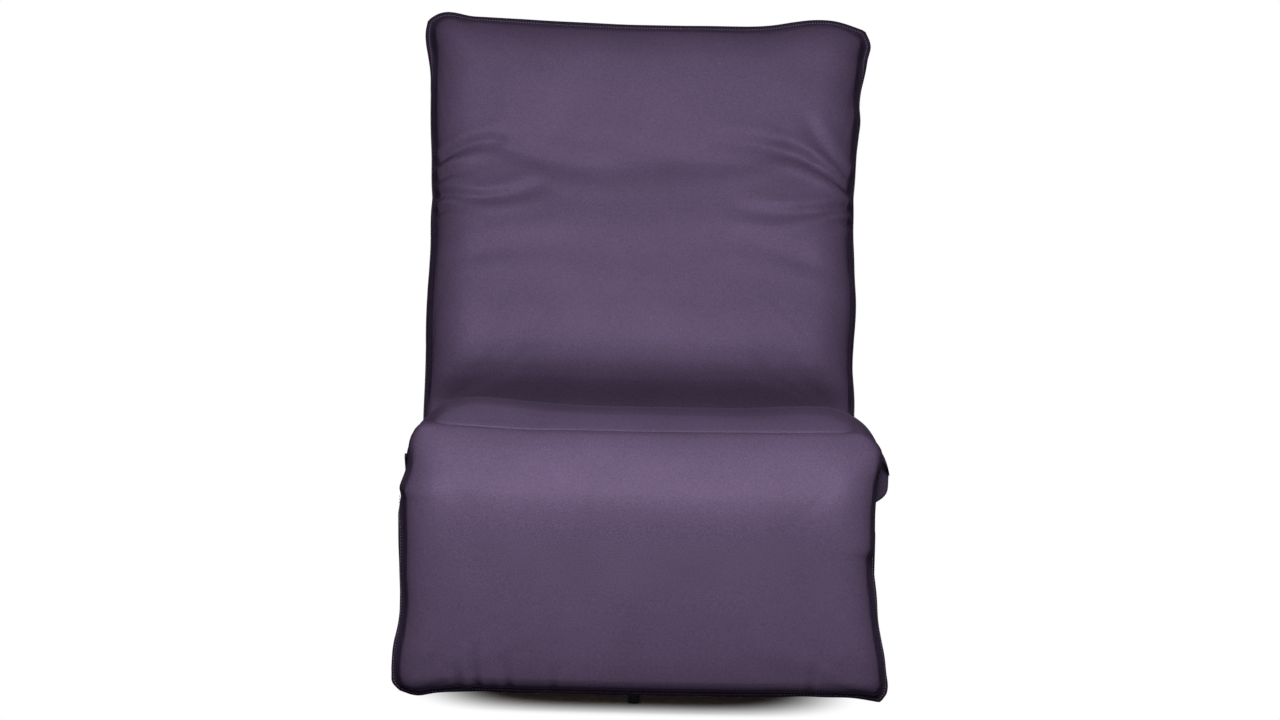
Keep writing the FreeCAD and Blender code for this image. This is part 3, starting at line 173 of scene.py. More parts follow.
def grid_faces(index, rear=False):
    """Faces of a grid of point numbers, turned the other way for a rear."""
    n, m = index.shape
    faces = [tuple(int(v) for v in (index[i, j], index[i + 1, j],
                                    index[i + 1, j + 1], index[i, j + 1]))
             for i in range(n - 1) for j in range(m - 1)]
    return [(a, d, c, b) for a, b, c, d in faces] if rear else faces


def band(last, now):
    """Faces between two rings with as many points."""
    size = len(last)
    return [(last[k], now[k], now[(k + 1) % size], last[(k + 1) % size]) for k in range(size)]


def pillow(name, place, edges, seam_depth, crown, rear_depth, rear_inset, sides,
           rear_crown=0.0, flip=False):
    """Closed padded form. edges are its four seam curves (x, up); seam_depth and crown are
    functions of the grid; sides are (share of the way back, outward) rings of the boxing."""
    front = patch(*edges)
    n, m = front.shape[:2]
    depth = seam_depth(front)
    grid = np.stack([front[..., 0], depth - crown(front), front[..., 1]], -1)
    middle = front.reshape(-1, 2).mean(0)
    ring = ring_of(n, m)
    edge = np.array([front[i, j] for i, j in ring])
    edge_depth = np.array([depth[i, j] for i, j in ring])
    tangent = np.roll(edge, -1, 0) - np.roll(edge, 1, 0)
    out = smooth_round(np.stack([tangent[:, 1], -tangent[:, 0]], -1), 6)
    verts = [grid.reshape(-1, 3)]
    index = np.arange(n * m).reshape(n, m)
    last = [int(index[i, j]) for i, j in ring]
    faces = grid_faces(index)
    count = n * m
    size = len(ring)
    for share, outward in sides:
        flat = edge + out * outward
        d = edge_depth + (rear_depth - edge_depth) * share
        verts.append(np.stack([flat[:, 0], d, flat[:, 1]], -1))
        now = list(range(count, count + size))
        count += size
        faces += band(last, now)
        last = now
    span = np.abs(front - middle).reshape(-1, 2).max(0)
    rear = middle + (front - middle) * (1 - rear_inset / span)
    q = (rear - middle) / span
    swell = rear_crown * np.clip(1 - q[..., 0] ** 4, 0, 1) * np.clip(1 - q[..., 1] ** 4, 0, 1)
    back = np.stack([rear[..., 0], np.full((n, m), rear_depth) + swell, rear[..., 1]], -1)
    verts.append(back.reshape(-1, 3))
    index = np.arange(count, count + n * m).reshape(n, m)
    now = [int(index[i, j]) for i, j in ring]
    faces += band(last, now)
    faces += grid_faces(index, rear=True)
    points = place(np.concatenate(verts))
    if flip:
        faces = [f[::-1] for f in faces]
    return mesh_object(name, points, faces)


def coords(obj):
    """The mesh's points as rows."""
    co = np.empty(len(obj.data.vertices) * 3)
    obj.data.vertices.foreach_get("co", co)
    return co.reshape(-1, 3)


def set_coords(obj, co):
    obj.data.vertices.foreach_set("co", np.ascontiguousarray(co, float).ravel())
    obj.data.update()


def keep_mesh(obj):
    """Applies every modifier of a piece."""
    graph = bpy.context.evaluated_depsgraph_get()
    mesh = bpy.data.meshes.new_from_object(obj.evaluated_get(graph))
    obj.modifiers.clear()
    old = obj.data
    obj.data = mesh
    bpy.data.meshes.remove(old)


def remesh(obj, voxel):
    """Even faces of about the voxel's size, as the cloth step needs them."""
    mod = obj.modifiers.new("voxels", "REMESH")
    mod.mode = "VOXEL"
    mod.voxel_size = voxel
    keep_mesh(obj)


def subdivide(obj):
    """One level of smooth subdivision, applied."""
    mod = obj.modifiers.new("finer", "SUBSURF")
    mod.levels = mod.render_levels = 1
    keep_mesh(obj)
    obj.data.polygons.foreach_set("use_smooth", [True] * len(obj.data.polygons))
    obj.data.update()


def distance_to(points, lines):
    """Distance of each point to the nearest point of the sampled lines."""
    tree = KDTree(sum(len(l) for l in lines))
    k = 0
    for line in lines:
        for p in line:
            tree.insert(Vector(p), k)
            k += 1
    tree.balance()
    return np.array([tree.find(Vector(p))[2] for p in points])


CLOTH = {"quality": 5, "mass": 0.3, "tension_stiffness": 25, "compression_stiffness": 25,
         "shear_stiffness": 12, "bending_stiffness": 0.8, "use_pressure": True}
HELD_FULLY = 0.004


def inflate(obj, held, pressure, cap, frames=20, loose=0.03):
    """Cloth under pressure, held within HELD_FULLY of the seams and free from loose beyond that;
    all its moves are scaled down alike, so that the longest are about cap."""
    start = coords(obj)
    near = distance_to(start, held)
    group = obj.vertex_groups.new(name="held")
    weight = np.clip(1 - (near - HELD_FULLY) / loose, 0, 1)
    for k, w in enumerate(weight):
        if w > 0:
            group.add([k], float(w), "REPLACE")
    mod = obj.modifiers.new("cloth", "CLOTH")
    for key, value in CLOTH.items():
        setattr(mod.settings, key, value)
    mod.settings.uniform_pressure_force = pressure
    mod.settings.effector_weights.gravity = 0
    mod.settings.vertex_group_mass = "held"
    mod.collision_settings.use_collision = False
    mod.point_cache.frame_start = 1
    mod.point_cache.frame_end = frames
    for f in range(1, frames + 1):
        scene.frame_set(f)
    keep_mesh(obj)
    scene.frame_set(1)
    moved = coords(obj) - start
    longest = max(1e-9, float(np.percentile(np.linalg.norm(moved, axis=1), 99)))
    set_coords(obj, start + moved * min(1, cap / longest))
    obj.vertex_groups.clear()


def press_creases(obj, creases, flatten, front_of):
    """Presses creases (start, end, width, depth) into the front of a padded piece, along its own
    normals. Each is slightly bent, deepest near its start, and has low ridges beside it."""
    co = coords(obj)
    normals = np.empty(len(co) * 3)
    obj.data.vertices.foreach_get("normal", normals)
    normals = normals.reshape(-1, 3)
    flat = flatten(co)
    front = np.nonzero(flat[:, 1] < front_of)[0]
    total = np.zeros(len(front))
    for k, (start, end, width, depth) in enumerate(creases):
        start, end = np.array(start), np.array(end)
        t = np.linspace(0, 1, 50)
        side = np.array([start[1] - end[1], end[0] - start[0]])
        line = np.outer(1 - t, start) + np.outer(t, end)
        line += np.outer(np.sin(np.pi * t) * 0.10 * math.sin(2.1 * k + 0.6), side)
        gap = np.linalg.norm(flat[front][:, None, ::2] - line[None], axis=2)
        at = gap.argmin(1)
        far = gap[np.arange(len(front)), at]
        share = t[at]
        fade = (1 - share) ** 0.7 * np.minimum(1, 0.55 + 4 * share)
        w = width * (0.75 + 0.7 * share)
        ridge = 0.40 * np.exp(-((far - 1.9 * w) / w) ** 2)
        total += depth * fade * (np.exp(-(far / w) ** 2) - ridge)
    co[front] -= normals[front] * total[:, None]
    set_coords(obj, co)


# section of a sewn edge: share of its width, share of its thickness
EDGE_SECTION = [(0.0, -0.5), (0.55, -0.5), (0.9, -0.42), (1.0, 0.0), (0.9, 0.42), (0.55, 0.5),
                (0.0, 0.5)]


def ribbon(name, line, outward, forward, inner, width, thick, flutter):
    """Flat sewn edge along a line, from inner to inner + width outward, with rounded edges."""
    k = len(line)
    rows = []
    for across, lift in EDGE_SECTION:
        reach = inner + np.asarray(width) * across
        rows.append(line + outward * np.reshape(reach, (-1, 1)) + forward *
                    (lift * thick + np.reshape(flutter, (-1, 1)) * across ** 1.5))
    verts = np.stack(rows, 1).reshape(-1, 3)
    c = len(EDGE_SECTION)
    faces = [(i * c + j, i * c + (j + 1) % c, (i + 1) * c + (j + 1) % c, (i + 1) * c + j)
             for i in range(k - 1) for j in range(c)]
    faces += [tuple(range(c - 1, -1, -1)), tuple((k - 1) * c + j for j in range(c))]
    return mesh_object(name, verts, faces)


STITCH_PITCH, STITCH_LENGTH, STITCH_THICK = 0.0046, 0.0030, 0.0011
# rings of one stitch: share of its length, share of its thickness, lift in thicknesses
STITCH_RINGS = [(0, 0.45, -0.2), (0.25, 1, 0.35), (0.75, 1, 0.35), (1, 0.45, -0.2)]
STITCH_SIDES = 5


def stitches(name, line, normal):
    """Short threads along a line, each a flattened bead that dips in at its ends."""
    pitch, length, thick, sides = STITCH_PITCH, STITCH_LENGTH, STITCH_THICK, STITCH_SIDES
    line = np.asarray(line, float)
    normal = np.broadcast_to(np.asarray(normal, float), line.shape)
    step = np.linalg.norm(np.diff(line, axis=0), axis=1)
    along = np.concatenate([[0], np.cumsum(step)])
    verts, faces = [], []
    for mid in np.arange(pitch, along[-1] - pitch, pitch):
        ends = [np.array([np.interp(mid + o, along, line[:, k]) for k in range(3)])
                for o in (-length / 2, length / 2)]
        n = np.array([np.interp(mid, along, normal[:, k]) for k in range(3)])
        n /= np.linalg.norm(n)
        t = ends[1] - ends[0]
        t /= np.linalg.norm(t) + 1e-12
        b = np.cross(t, n)
        base = len(verts)
        for share, fat, up in STITCH_RINGS:
            c = ends[0] + (ends[1] - ends[0]) * share + n * thick * up
            for a in range(sides):
                w = 2 * math.pi * a / sides
                verts.append(c + (b * math.cos(w) + n * math.sin(w) * 0.7) * thick * 0.5 * fat)
        end = base + sides * (len(STITCH_RINGS) - 1)
        for r in range(base, end, sides):
            for a in range(sides):
                b1 = (a + 1) % sides
                faces.append((r + a, r + b1, r + sides + b1, r + sides + a))
        faces += [tuple(base + a for a in range(sides - 1, -1, -1)),
                  tuple(end + a for a in range(sides))]
    return mesh_object(name, verts, faces)


# ---------------------------------------------------------------- materials

def blank_tree(owner):
    """The emptied node tree of a material or a world."""
    owner.use_nodes = True
    owner.node_tree.nodes.clear()
    return owner.node_tree


def new_material(name):
    mat = bpy.data.materials.new(name)
    tree = blank_tree(mat)
    out = tree.nodes.new("ShaderNodeOutputMaterial")
    shader = tree.nodes.new("ShaderNodeBsdfPrincipled")
    tree.links.new(shader.outputs[0], out.inputs[0])
    return mat, tree, shader


def node(tree, kind, **values):
    """A new node; values name its inputs, or its properties where they start with _."""
    n = tree.nodes.new(kind)
    for key, value in values.items():
        if key.startswith("_"):
            setattr(n, key[1:], value)
        else:
            n.inputs[key.replace("_", " ")].default_value = value
    return n


def position(tree, scale=(1, 1, 1)):
    where = node(tree, "ShaderNodeTexCoord")
    mapping = node(tree, "ShaderNodeMapping", Scale=scale)
    tree.links.new(where.outputs["Object"], mapping.inputs["Vector"])
    return mapping.outputs["Vector"]


def ramp(tree, source, stops):
    r = tree.nodes.new("ShaderNodeValToRGB")
    while len(r.color_ramp.elements) < len(stops):
        r.color_ramp.elements.new(0.5)
    for element, (place, colour) in zip(r.color_ramp.elements, stops):
        element.position = place
        element.color = (*colour, 1) if len(colour) == 3 else colour
    tree.links.new(source, r.inputs["Fac"])
    return r.outputs["Color"]


def bump(tree, shader, source, strength, distance, before=None):
    b = node(tree, "ShaderNodeBump", Strength=strength, Distance=distance)
    tree.links.new(source, b.inputs["Height"])
    if before is not None:
        tree.links.new(before, b.inputs["Normal"])
    if shader is not None:
        tree.links.new(b.outputs["Normal"], shader.inputs["Normal"])
    return b.outputs["Normal"]


def scaled(colour, k):
    return tuple(min(1.0, c * k) for c in colour)


def multiplied(tree, first, second, share):
    """The first colour times the second, by that share."""
    mix = node(tree, "ShaderNodeMix", _data_type="RGBA", _blend_type="MULTIPLY", Factor=share)
    tree.links.new(first, mix.inputs[6])
    tree.links.new(second, mix.inputs[7])
    return mix.outputs[2]


def mixed(tree, share, first, second):
    """The first shader where share is 0, the second where it is 1."""
    mix = node(tree, "ShaderNodeMixShader")
    for k, source in enumerate((share, first, second)):
        tree.links.new(source, mix.inputs[k])
    return mix.outputs[0]


NAP_GLOSS = 0.20


def microfibre(name, colour, contrast=0.06, roughness=0.52):
    """Fine-napped upholstery fabric with a faint grain: its gloss is a broad one in its own
    colour that dies away towards its edges, so it is the metallic share with a black edge tint."""
    mat, tree, shader = new_material(name)
    where = position(tree)
    cloud = node(tree, "ShaderNodeTexNoise", Scale=9.0, Detail=4.0, Roughness=0.55)
    grain = node(tree, "ShaderNodeTexNoise", Scale=460.0, Detail=3.0, Roughness=0.65)
    cell = node(tree, "ShaderNodeTexVoronoi", Scale=430.0, Randomness=1.0)
    for n in (cloud, grain, cell):
        tree.links.new(where, n.inputs["Vector"])
    broad = ramp(tree, cloud.outputs["Fac"],
                 [(0.3, scaled(colour, 1 - contrast)), (0.7, scaled(colour, 1 + contrast))])
    fleck = ramp(tree, grain.outputs["Fac"], [(0.3, (0.78,) * 3), (0.72, (1.18,) * 3)])
    tree.links.new(multiplied(tree, broad, fleck, 1.0), shader.inputs["Base Color"])
    first = bump(tree, None, cell.outputs["Distance"], 0.25, 0.0006)
    bump(tree, shader, grain.outputs["Fac"], 0.35, 0.0005, first)
    shader.inputs["Roughness"].default_value = roughness
    shader.inputs["Metallic"].default_value = NAP_GLOSS
    shader.inputs["Specular Tint"].default_value = (0, 0, 0, 1)
    shader.inputs["Specular IOR Level"].default_value = 0.0
    return mat


def wood(name, pale, dark, along, layers=False):
    """Sawn wood with its grain along one axis, or the stacked plies of plywood."""
    mat, tree, shader = new_material(name)
    scale = [38.0, 38.0, 38.0]
    scale[along] = 2.4
    where = position(tree, scale)
    grain = node(tree, "ShaderNodeTexNoise", Scale=2.2, Detail=6.0, Roughness=0.62, Distortion=0.6)
    tree.links.new(where, grain.inputs["Vector"])
    colour = ramp(tree, grain.outputs["Fac"],
                  [(0.28, dark), (0.55, pale), (0.8, scaled(pale, 1.12))])
    if layers:
        plain = position(tree, (1, 1, 1))
        plies = node(tree, "ShaderNodeTexWave", Scale=105.0, Distortion=0.4, Detail=2.0)
        tree.links.new(plain, plies.inputs["Vector"])
        layer = ramp(tree, plies.outputs["Fac"], [(0.35, (0.78, 0.72, 0.66)), (0.65, (1, 1, 1))])
        colour = multiplied(tree, colour, layer, 0.5)
    tree.links.new(colour, shader.inputs["Base Color"])
    bump(tree, shader, grain.outputs["Fac"], 0.3, 0.0006)
    shader.inputs["Roughness"].default_value = 0.62
    return mat


def metal(name, colour, roughness, metallic, grain, worn=None):
    """Painted or plated steel with fine orange peel, scuffs and uneven gloss."""
    mat, tree, shader = new_material(name)
    where = position(tree)
    fine = node(tree, "ShaderNodeTexNoise", Scale=grain, Detail=4.0, Roughness=0.6)
    broad = node(tree, "ShaderNodeTexNoise", Scale=26.0, Detail=5.0, Roughness=0.7)
    for n in (fine, broad):
        tree.links.new(where, n.inputs["Vector"])
    colours = ramp(tree, broad.outputs["Fac"],
                   [(0.35, scaled(colour, 0.85)), (0.62, colour),
                    (0.76, worn or scaled(colour, 1.25))])
    tree.links.new(colours, shader.inputs["Base Color"])
    gloss = ramp(tree, broad.outputs["Fac"],
                 [(0.3, (roughness - 0.08,) * 3), (0.7, (roughness + 0.1,) * 3)])
    tree.links.new(gloss, shader.inputs["Roughness"])
    bump(tree, shader, fine.outputs["Fac"], 0.18, 0.0003)
    shader.inputs["Metallic"].default_value = metallic
    return mat


def plastic(name, colour):
    """Moulded plastic with a fine pebbled skin."""
    mat, tree, shader = new_material(name)
    where = position(tree)
    fine = node(tree, "ShaderNodeTexVoronoi", Scale=900.0)
    broad = node(tree, "ShaderNodeTexNoise", Scale=40.0, Detail=3.0)
    tree.links.new(where, fine.inputs["Vector"])
    tree.links.new(where, broad.inputs["Vector"])
    mottle = ramp(tree, broad.outputs["Fac"], [(0.3, colour), (0.75, scaled(colour, 1.6))])
    tree.links.new(mottle, shader.inputs["Base Color"])
    bump(tree, shader, fine.outputs["Distance"], 0.25, 0.0004)
    shader.inputs["Roughness"].default_value = 0.48
    shader.inputs["Specular IOR Level"].default_value = 0.15
    return mat


def webbing(name, colour):
    """Woven elastic strap: ribs across it and threads along it."""
    mat, tree, shader = new_material(name)
    ribs = node(tree, "ShaderNodeTexWave", Scale=190.0, Distortion=0.8, Detail=2.0,
                _bands_direction="Z")
    threads = node(tree, "ShaderNodeTexWave", Scale=240.0, Distortion=0.5, _bands_direction="X")
    where = position(tree)
    tree.links.new(where, ribs.inputs["Vector"])
    tree.links.new(where, threads.inputs["Vector"])
    weave = ramp(tree, ribs.outputs["Fac"],
                 [(0.2, scaled(colour, 0.6)), (0.8, scaled(colour, 1.3))])
    tree.links.new(weave, shader.inputs["Base Color"])
    first = bump(tree, None, ribs.outputs["Fac"], 0.6, 0.0008)
    bump(tree, shader, threads.outputs["Fac"], 0.4, 0.0005, first)
    shader.inputs["Roughness"].default_value = 0.85
    return mat


FABRIC = (0.088, 0.0605, 0.111)
cover = microfibre("upholstery_cover", FABRIC)
# the flanges' cover is the upholstery fabric darkened to about a third: painted shade on the sewn
# edges
shaded_edge_cover = microfibre("upholstery_edge_painted_shade", (0.027, 0.018, 0.035), roughness=0.62)
thread = microfibre("upholstery_thread", (0.190, 0.150, 0.210), contrast=0.1, roughness=0.5)
SLOT_MATERIALS = {
    "upholstery": cover,
    "plywood": wood("plywood", (0.52, 0.35, 0.19), (0.40, 0.25, 0.12), 1, layers=True),
    "hardwood": wood("hardwood", (0.50, 0.32, 0.16), (0.36, 0.21, 0.09), 0),
    "black_plastic": plastic("black_plastic", (0.012, 0.012, 0.013)),
    "webbing": webbing("webbing", (0.045, 0.044, 0.05)),
    "spring_steel": metal("spring_steel", (0.36, 0.36, 0.37), 0.34, 1.0, 700.0),
    "zinc_steel": metal("zinc_steel", (0.62, 0.62, 0.60), 0.3, 1.0, 500.0),
    "black_steel": metal("black_steel", (0.018, 0.018, 0.019), 0.42, 0.0, 420.0,
                         (0.05, 0.05, 0.052)),
}
for part in frame["record"]["subparts"]:
    solid = frame["nodes"][part["node"]]
    solid.data.materials.clear()
    solid.data.materials.append(SLOT_MATERIALS[part["material_slot"]])


def dress(obj, material):
    """Gives a piece its only material."""
    obj.data.materials.clear()
    obj.data.materials.append(material)


# ---------------------------------------------------------------- back and headrest

FLANGE = 0.0105          # width of the back's flange
FLANGE_TUCK = 0.002      # how far a flange starts inside its seam
FLANGE_THICK = 0.0034
STITCH_LIFT = 0.0019     # threads above the middle of the flange
EAR_UP = 0.690
EAR_TURN = 0.06          # height over which the flange turns to the front below the ears


def back_turn(line):
    """Share of the flange's width that faces front: little along the sides, all at the ears."""
    share = np.clip((line[:, 1] - (EAR_UP - EAR_TURN)) / EAR_TURN, 0, 1)
    return 0.40 + 0.60 * share * share * (3 - 2 * share)


SEAM_DEPTH = -0.050      # seam of the back ahead of the frame's middle
# outline of the back: (up, x) at its sides, (x, up) at its top
BACK_LEFT = [(0.036, -0.347), (0.091, -0.348), (0.166, -0.347), (0.216, -0.349), (0.266, -0.349),
             (0.317, -0.347), (0.367, -0.3455), (0.418, -0.3455), (0.443, -0.3450), (0.468, -0.347),
             (0.519, -0.3487), (0.570, -0.352), (0.621, -0.3535), (0.647, -0.354), (0.673, -0.3585),
             (0.698, -0.364), (0.724, -0.3655), (0.741, -0.362)]
BACK_RIGHT = [(0.036, 0.353), (0.108, 0.354), (0.183, 0.3515), (0.233, 0.354), (0.283, 0.3555),
              (0.334, 0.3517), (0.384, 0.3495), (0.435, 0.3506), (0.460, 0.350), (0.486, 0.352),
              (0.537, 0.3546), (0.588, 0.359), (0.614, 0.357), (0.639, 0.360), (0.665, 0.3666),
              (0.691, 0.371), (0.717, 0.376), (0.741, 0.366)]
BACK_TOP = [(-0.362, 0.741), (-0.351, 0.7495), (-0.284, 0.7500), (-0.218, 0.7475), (-0.151, 0.745),
            (-0.084, 0.743), (0.084, 0.743), (0.216, 0.7475), (0.249, 0.7535), (0.282, 0.758),
            (0.316, 0.757), (0.349, 0.7475), (0.366, 0.741)]


def outline_edges(left, right, top, bottom, inset, count_across, count_up):
    """Four seam curves inset from an outline given by keys, as arrays that share corners.
    inset is a function of the outline's points."""
    fine = 400

    def level(keys):
        reach = np.linspace(keys[0][0], keys[-1][0], fine)
        return np.stack([reach, through(keys, reach)], -1)

    def upward_line(keys, low, high):
        up = np.linspace(low, high, fine)
        return np.stack([through(keys, up), up], -1)

    top_line, low_line = level(top), level(bottom)
    left_line = upward_line(left, low_line[0][1], top_line[0][1])
    right_line = upward_line(right, low_line[-1][1], top_line[-1][1])
    loop = np.concatenate([left_line[:-1], top_line[:-1],
                           right_line[::-1][:-1], low_line[::-1][:-1]])
    tangent = np.roll(loop, -2, 0) - np.roll(loop, 2, 0)
    out = smooth_round(np.stack([-tangent[:, 1], tangent[:, 0]], -1), 10)
    moved = loop - out * inset(loop)[:, None]
    a, b, c = fine - 1, 2 * (fine - 1), 3 * (fine - 1)
    left_line = resample(moved[:a + 1], count_up)
    top_line = resample(moved[a:b + 1], count_across)
    right_line = resample(moved[b:c + 1], count_up)[::-1]
    low_line = resample(np.concatenate([moved[c:], moved[:1]]), count_across)[::-1]
    return left_line, right_line, low_line, top_line


def edge_distances(front):
    """Distances of a grid's points to its left, right, bottom and top seams."""
    left = front[..., 0] - front[:1, :, 0]
    right = front[-1:, :, 0] - front[..., 0]
    low = front[..., 1] - front[:, :1, 1]
    high = front[:, -1:, 1] - front[..., 1]
    return left, right, low, high


def back_crown(front):
    """How far the back's front stands ahead of its seam: lumbar swell, dip and headrest."""
    left, right, low, high = edge_distances(front)
    up = front[..., 1]
    height = through([(0.03, 0.018), (0.080, 0.022), (0.098, 0.034), (0.112, 0.052),
                      (0.127, 0.071), (0.145, 0.084), (0.175, 0.093), (0.22, 0.095),
                      (0.275, 0.090), (0.318, 0.0865), (0.37, 0.086), (0.44, 0.078),
                      (0.49, 0.071), (0.515, 0.0695), (0.55, 0.072), (0.62, 0.075),
                      (0.76, 0.073)], up)
    shape = (rise(left, 0.070, 2.6) * rise(right, 0.070, 2.6) * rise(low, 0.03)
             * rise(high, 0.072, 2.4))
    x = front[..., 0] / 0.35
    return height * shape * (1 - 0.08 * x ** 2)


across, upward = ((97, 105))
back_edges = outline_edges(BACK_LEFT, BACK_RIGHT, BACK_TOP,
                           [(-0.347, 0.036), (0.0, 0.036), (0.353, 0.036)],
                           lambda line: FLANGE * back_turn(line), across, upward)
back_skin = pillow("back_skin", back_place, back_edges,
                   lambda front: np.full(front.shape[:2], SEAM_DEPTH), back_crown,
                   0.046, np.array([0.017, 0.008]),
                   [(0.12, 0.0035), (0.3, 0.006), (0.5, 0.0065), (0.7, 0.003), (0.88, -0.004),
                    (0.97, -0.010)], rear_crown=0.003)


def seam_path(edges, depth, place, keep=("left", "top", "right")):
    """The seam curves joined into one line, with outward directions, in the row frame."""
    left, right, bottom, top = edges
    parts = {"left": left, "top": top, "right": right[::-1], "bottom": bottom[::-1]}
    line = np.concatenate([parts[k] if i == 0 else parts[k][1:] for i, k in enumerate(keep)])
    line = resample(line, 420)
    tangent = np.gradient(line, axis=0)
    out = smooth_along(np.stack([-tangent[:, 1], tangent[:, 0]], -1))
    deep = np.full(len(line), depth)
    world = place(np.stack([line[:, 0], deep, line[:, 1]], -1))
    outer = place(np.stack([line[:, 0] + out[:, 0], deep, line[:, 1] + out[:, 1]], -1))
    return world, outer - world, line


back_seam, back_out, back_flat = seam_path(back_edges, SEAM_DEPTH, back_place)
back_front = back_place([[0, -1, 0]])[0] - back_place([[0, 0, 0]])[0]
back_low, _, _ = seam_path(back_edges, SEAM_DEPTH, back_place, ("bottom",))

CREASES = [
    # starts at the side seam (x, up), ends further in, width, depth
    ((-0.336, 0.492), (-0.225, 0.522), 0.0090, 0.0078),
    ((-0.333, 0.462), (-0.270, 0.470), 0.0075, 0.0052),
    ((-0.334, 0.434), (-0.150, 0.452), 0.0090, 0.0064),
    ((-0.334, 0.405), (-0.255, 0.404), 0.0080, 0.0042),
    ((0.344, 0.474), (0.258, 0.578), 0.0095, 0.0062),
    ((0.344, 0.456), (0.105, 0.523), 0.0105, 0.0078),
    ((0.344, 0.428), (0.140, 0.412), 0.0095, 0.0060),
    ((0.344, 0.405), (0.268, 0.388), 0.0080, 0.0042),
    ((-0.240, 0.515), (0.080, 0.500), 0.0160, 0.0026),
    ((0.230, 0.505), (-0.060, 0.512), 0.0160, 0.0026),
    ((-0.300, 0.330), (0.020, 0.338), 0.0180, 0.0022),
    ((0.300, 0.318), (-0.030, 0.336), 0.0180, 0.0022),
]
remesh(back_skin, 0.0056)
inflate(back_skin, [back_seam, back_low], 2.5, 0.0060)
press_creases(back_skin, CREASES, back_flat_of, SEAM_DEPTH - 0.006)
subdivide(back_skin)
dress(back_skin, cover)
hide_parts("back_cushion", "headrest_cushion", "back_rear_panel", "headrest_rear_panel")

wave = (0.0009 * np.sin(np.linspace(0, 46, len(back_seam)))
        + 0.0006 * np.sin(np.linspace(1, 113, len(back_seam))))
turn = back_turn(back_flat)[:, None]
back_reach = back_out * turn - back_front * np.sqrt(1 - turn ** 2)
back_lift = back_front * turn + back_out * np.sqrt(1 - turn ** 2)
back_flange = ribbon("back_flange", back_seam, back_reach, back_lift, -FLANGE_TUCK,
                     FLANGE + FLANGE_TUCK, FLANGE_THICK, wave[:, None])
dress(back_flange, shaded_edge_cover)
back_stitches = stitches("back_topstitch",
                         back_seam + back_reach * 0.0042 + back_lift * STITCH_LIFT, back_lift)
dress(back_stitches, thread)

for piece in (back_skin, back_flange, back_stitches):
    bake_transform(piece)


# ---------------------------------------------------------------- seat

SEAT_MIDDLE_Z = 0.360
# section of the seat cover (y, z), clockwise from the seam
SEAT_TOP = [(SEAM_Y, SEAM_Z), (-0.4195, 0.4368), (-0.412, 0.4415), (-0.398, 0.4490),
            (-0.380, 0.4556), (-0.360, 0.4602), (-0.335, 0.4626), (-0.300, 0.4607),
            (-0.260, 0.4565), (-0.200, 0.4508), (-0.140, 0.4448), (-0.080, 0.4388),
            (-0.020, 0.4325), (0.030, 0.4262), (0.058, 0.4190), (0.076, 0.4080),
            (0.086, 0.3900), (0.088, 0.3650), (0.087, 0.3400)]
SEAT_FRONT = [(-0.354, 0.3400), (-0.354, 0.4000), (-0.358, 0.4230), (-0.374, 0.4280),
              (-0.395, 0.4290), (-0.410, 0.4292), (-0.4195, 0.4298)]
SEAT_LOW_MIDDLE = [(0.083, 0.3285), (0.060, 0.3280), (-0.10, 0.3280), (-0.318, 0.3280),
                   (-0.334, 0.3270), (-0.338, 0.3060), (-0.345, 0.3030), (-0.352, 0.3060)]
SEAT_LOW_SIDE = [(0.083, 0.3100), (0.070, 0.3040), (-0.10, 0.3030), (-0.300, 0.3030),
                 (-0.334, 0.3030), (-0.340, 0.3032), (-0.346, 0.3040), (-0.352, 0.3080)]
# share of the height above the middle that is left, by distance from the middle of the seat
SHOULDER_LEFT = [(0.0, 0.910), (0.062, 0.911), (0.099, 0.917), (0.144, 0.940), (0.174, 0.961),
                 (0.214, 0.996), (0.236, 1.008), (0.256, 1.001), (0.270, 0.979), (0.287, 0.941),
                 (0.300, 0.879), (0.310, 0.797), (0.327, 0.627), (0.3364, 0.500), (0.3435, 0.340),
                 (0.3478, 0.14), (0.3490, 0.0)]
SHOULDER_RIGHT = [(0.0, 0.910), (0.080, 0.918), (0.170, 0.934), (0.205, 0.957), (0.236, 0.974),
                  (0.263, 0.977), (0.285, 0.960), (0.308, 0.898), (0.320, 0.831), (0.332, 0.747),
                  (0.344, 0.612), (0.357, 0.390), (0.3665, 0.210), (0.3705, 0.07), (0.3715, 0.0)]
# the seam that the seat and the pad share, seen from the front
SEAM_LINE = [(-0.3200, 0.4292), (-0.283, 0.4290), (-0.2265, 0.4268), (-0.171, 0.4243),
             (-0.098, 0.4240), (0.0, 0.4240), (0.110, 0.4256), (0.224, 0.4286), (0.280, 0.4300),
             (0.3220, 0.4300)]
SEAM_GAP = 0.0006
SIDE_RAIL = 0.296        # the cover's underside steps down from here outward
RING_POINTS = 170
SEAT_HOLD = 6            # points beside the seam that aren't held with the underside
SEAT_UNDERSIDE = 0.331
SEAT_CENTRE_Y = -0.12
SEAT_FACE_Y, NOSE_LENGTH = -0.354, 0.083
NOSE_BACK = 0.060        # how far the nose draws back where the shoulder is down
SEAM_END, SEAM_END_FADE = 0.325, 0.03      # the shared seam's ends, from the middle
SEAM_FROM_Y, SEAM_FROM_FADE = -0.365, 0.05
SEAT_HELD_LINES = ((-0.345, 0.304), (-0.354, 0.34), (0.08, 0.328))
SEAT_LEFT_LIMIT = -0.3522


def seat_stations(keys, count):
    """(distance from the middle, share of height left), evenly along the shoulder curve."""
    height = 0.10
    fine = np.linspace(0, keys[-1][0], 600)
    share = np.clip(through(keys, fine), 0, 1.02)
    share[-1] = 0
    curve = resample(np.stack([fine, share * height], -1), count)
    return [(x, h / height) for x, h in curve]


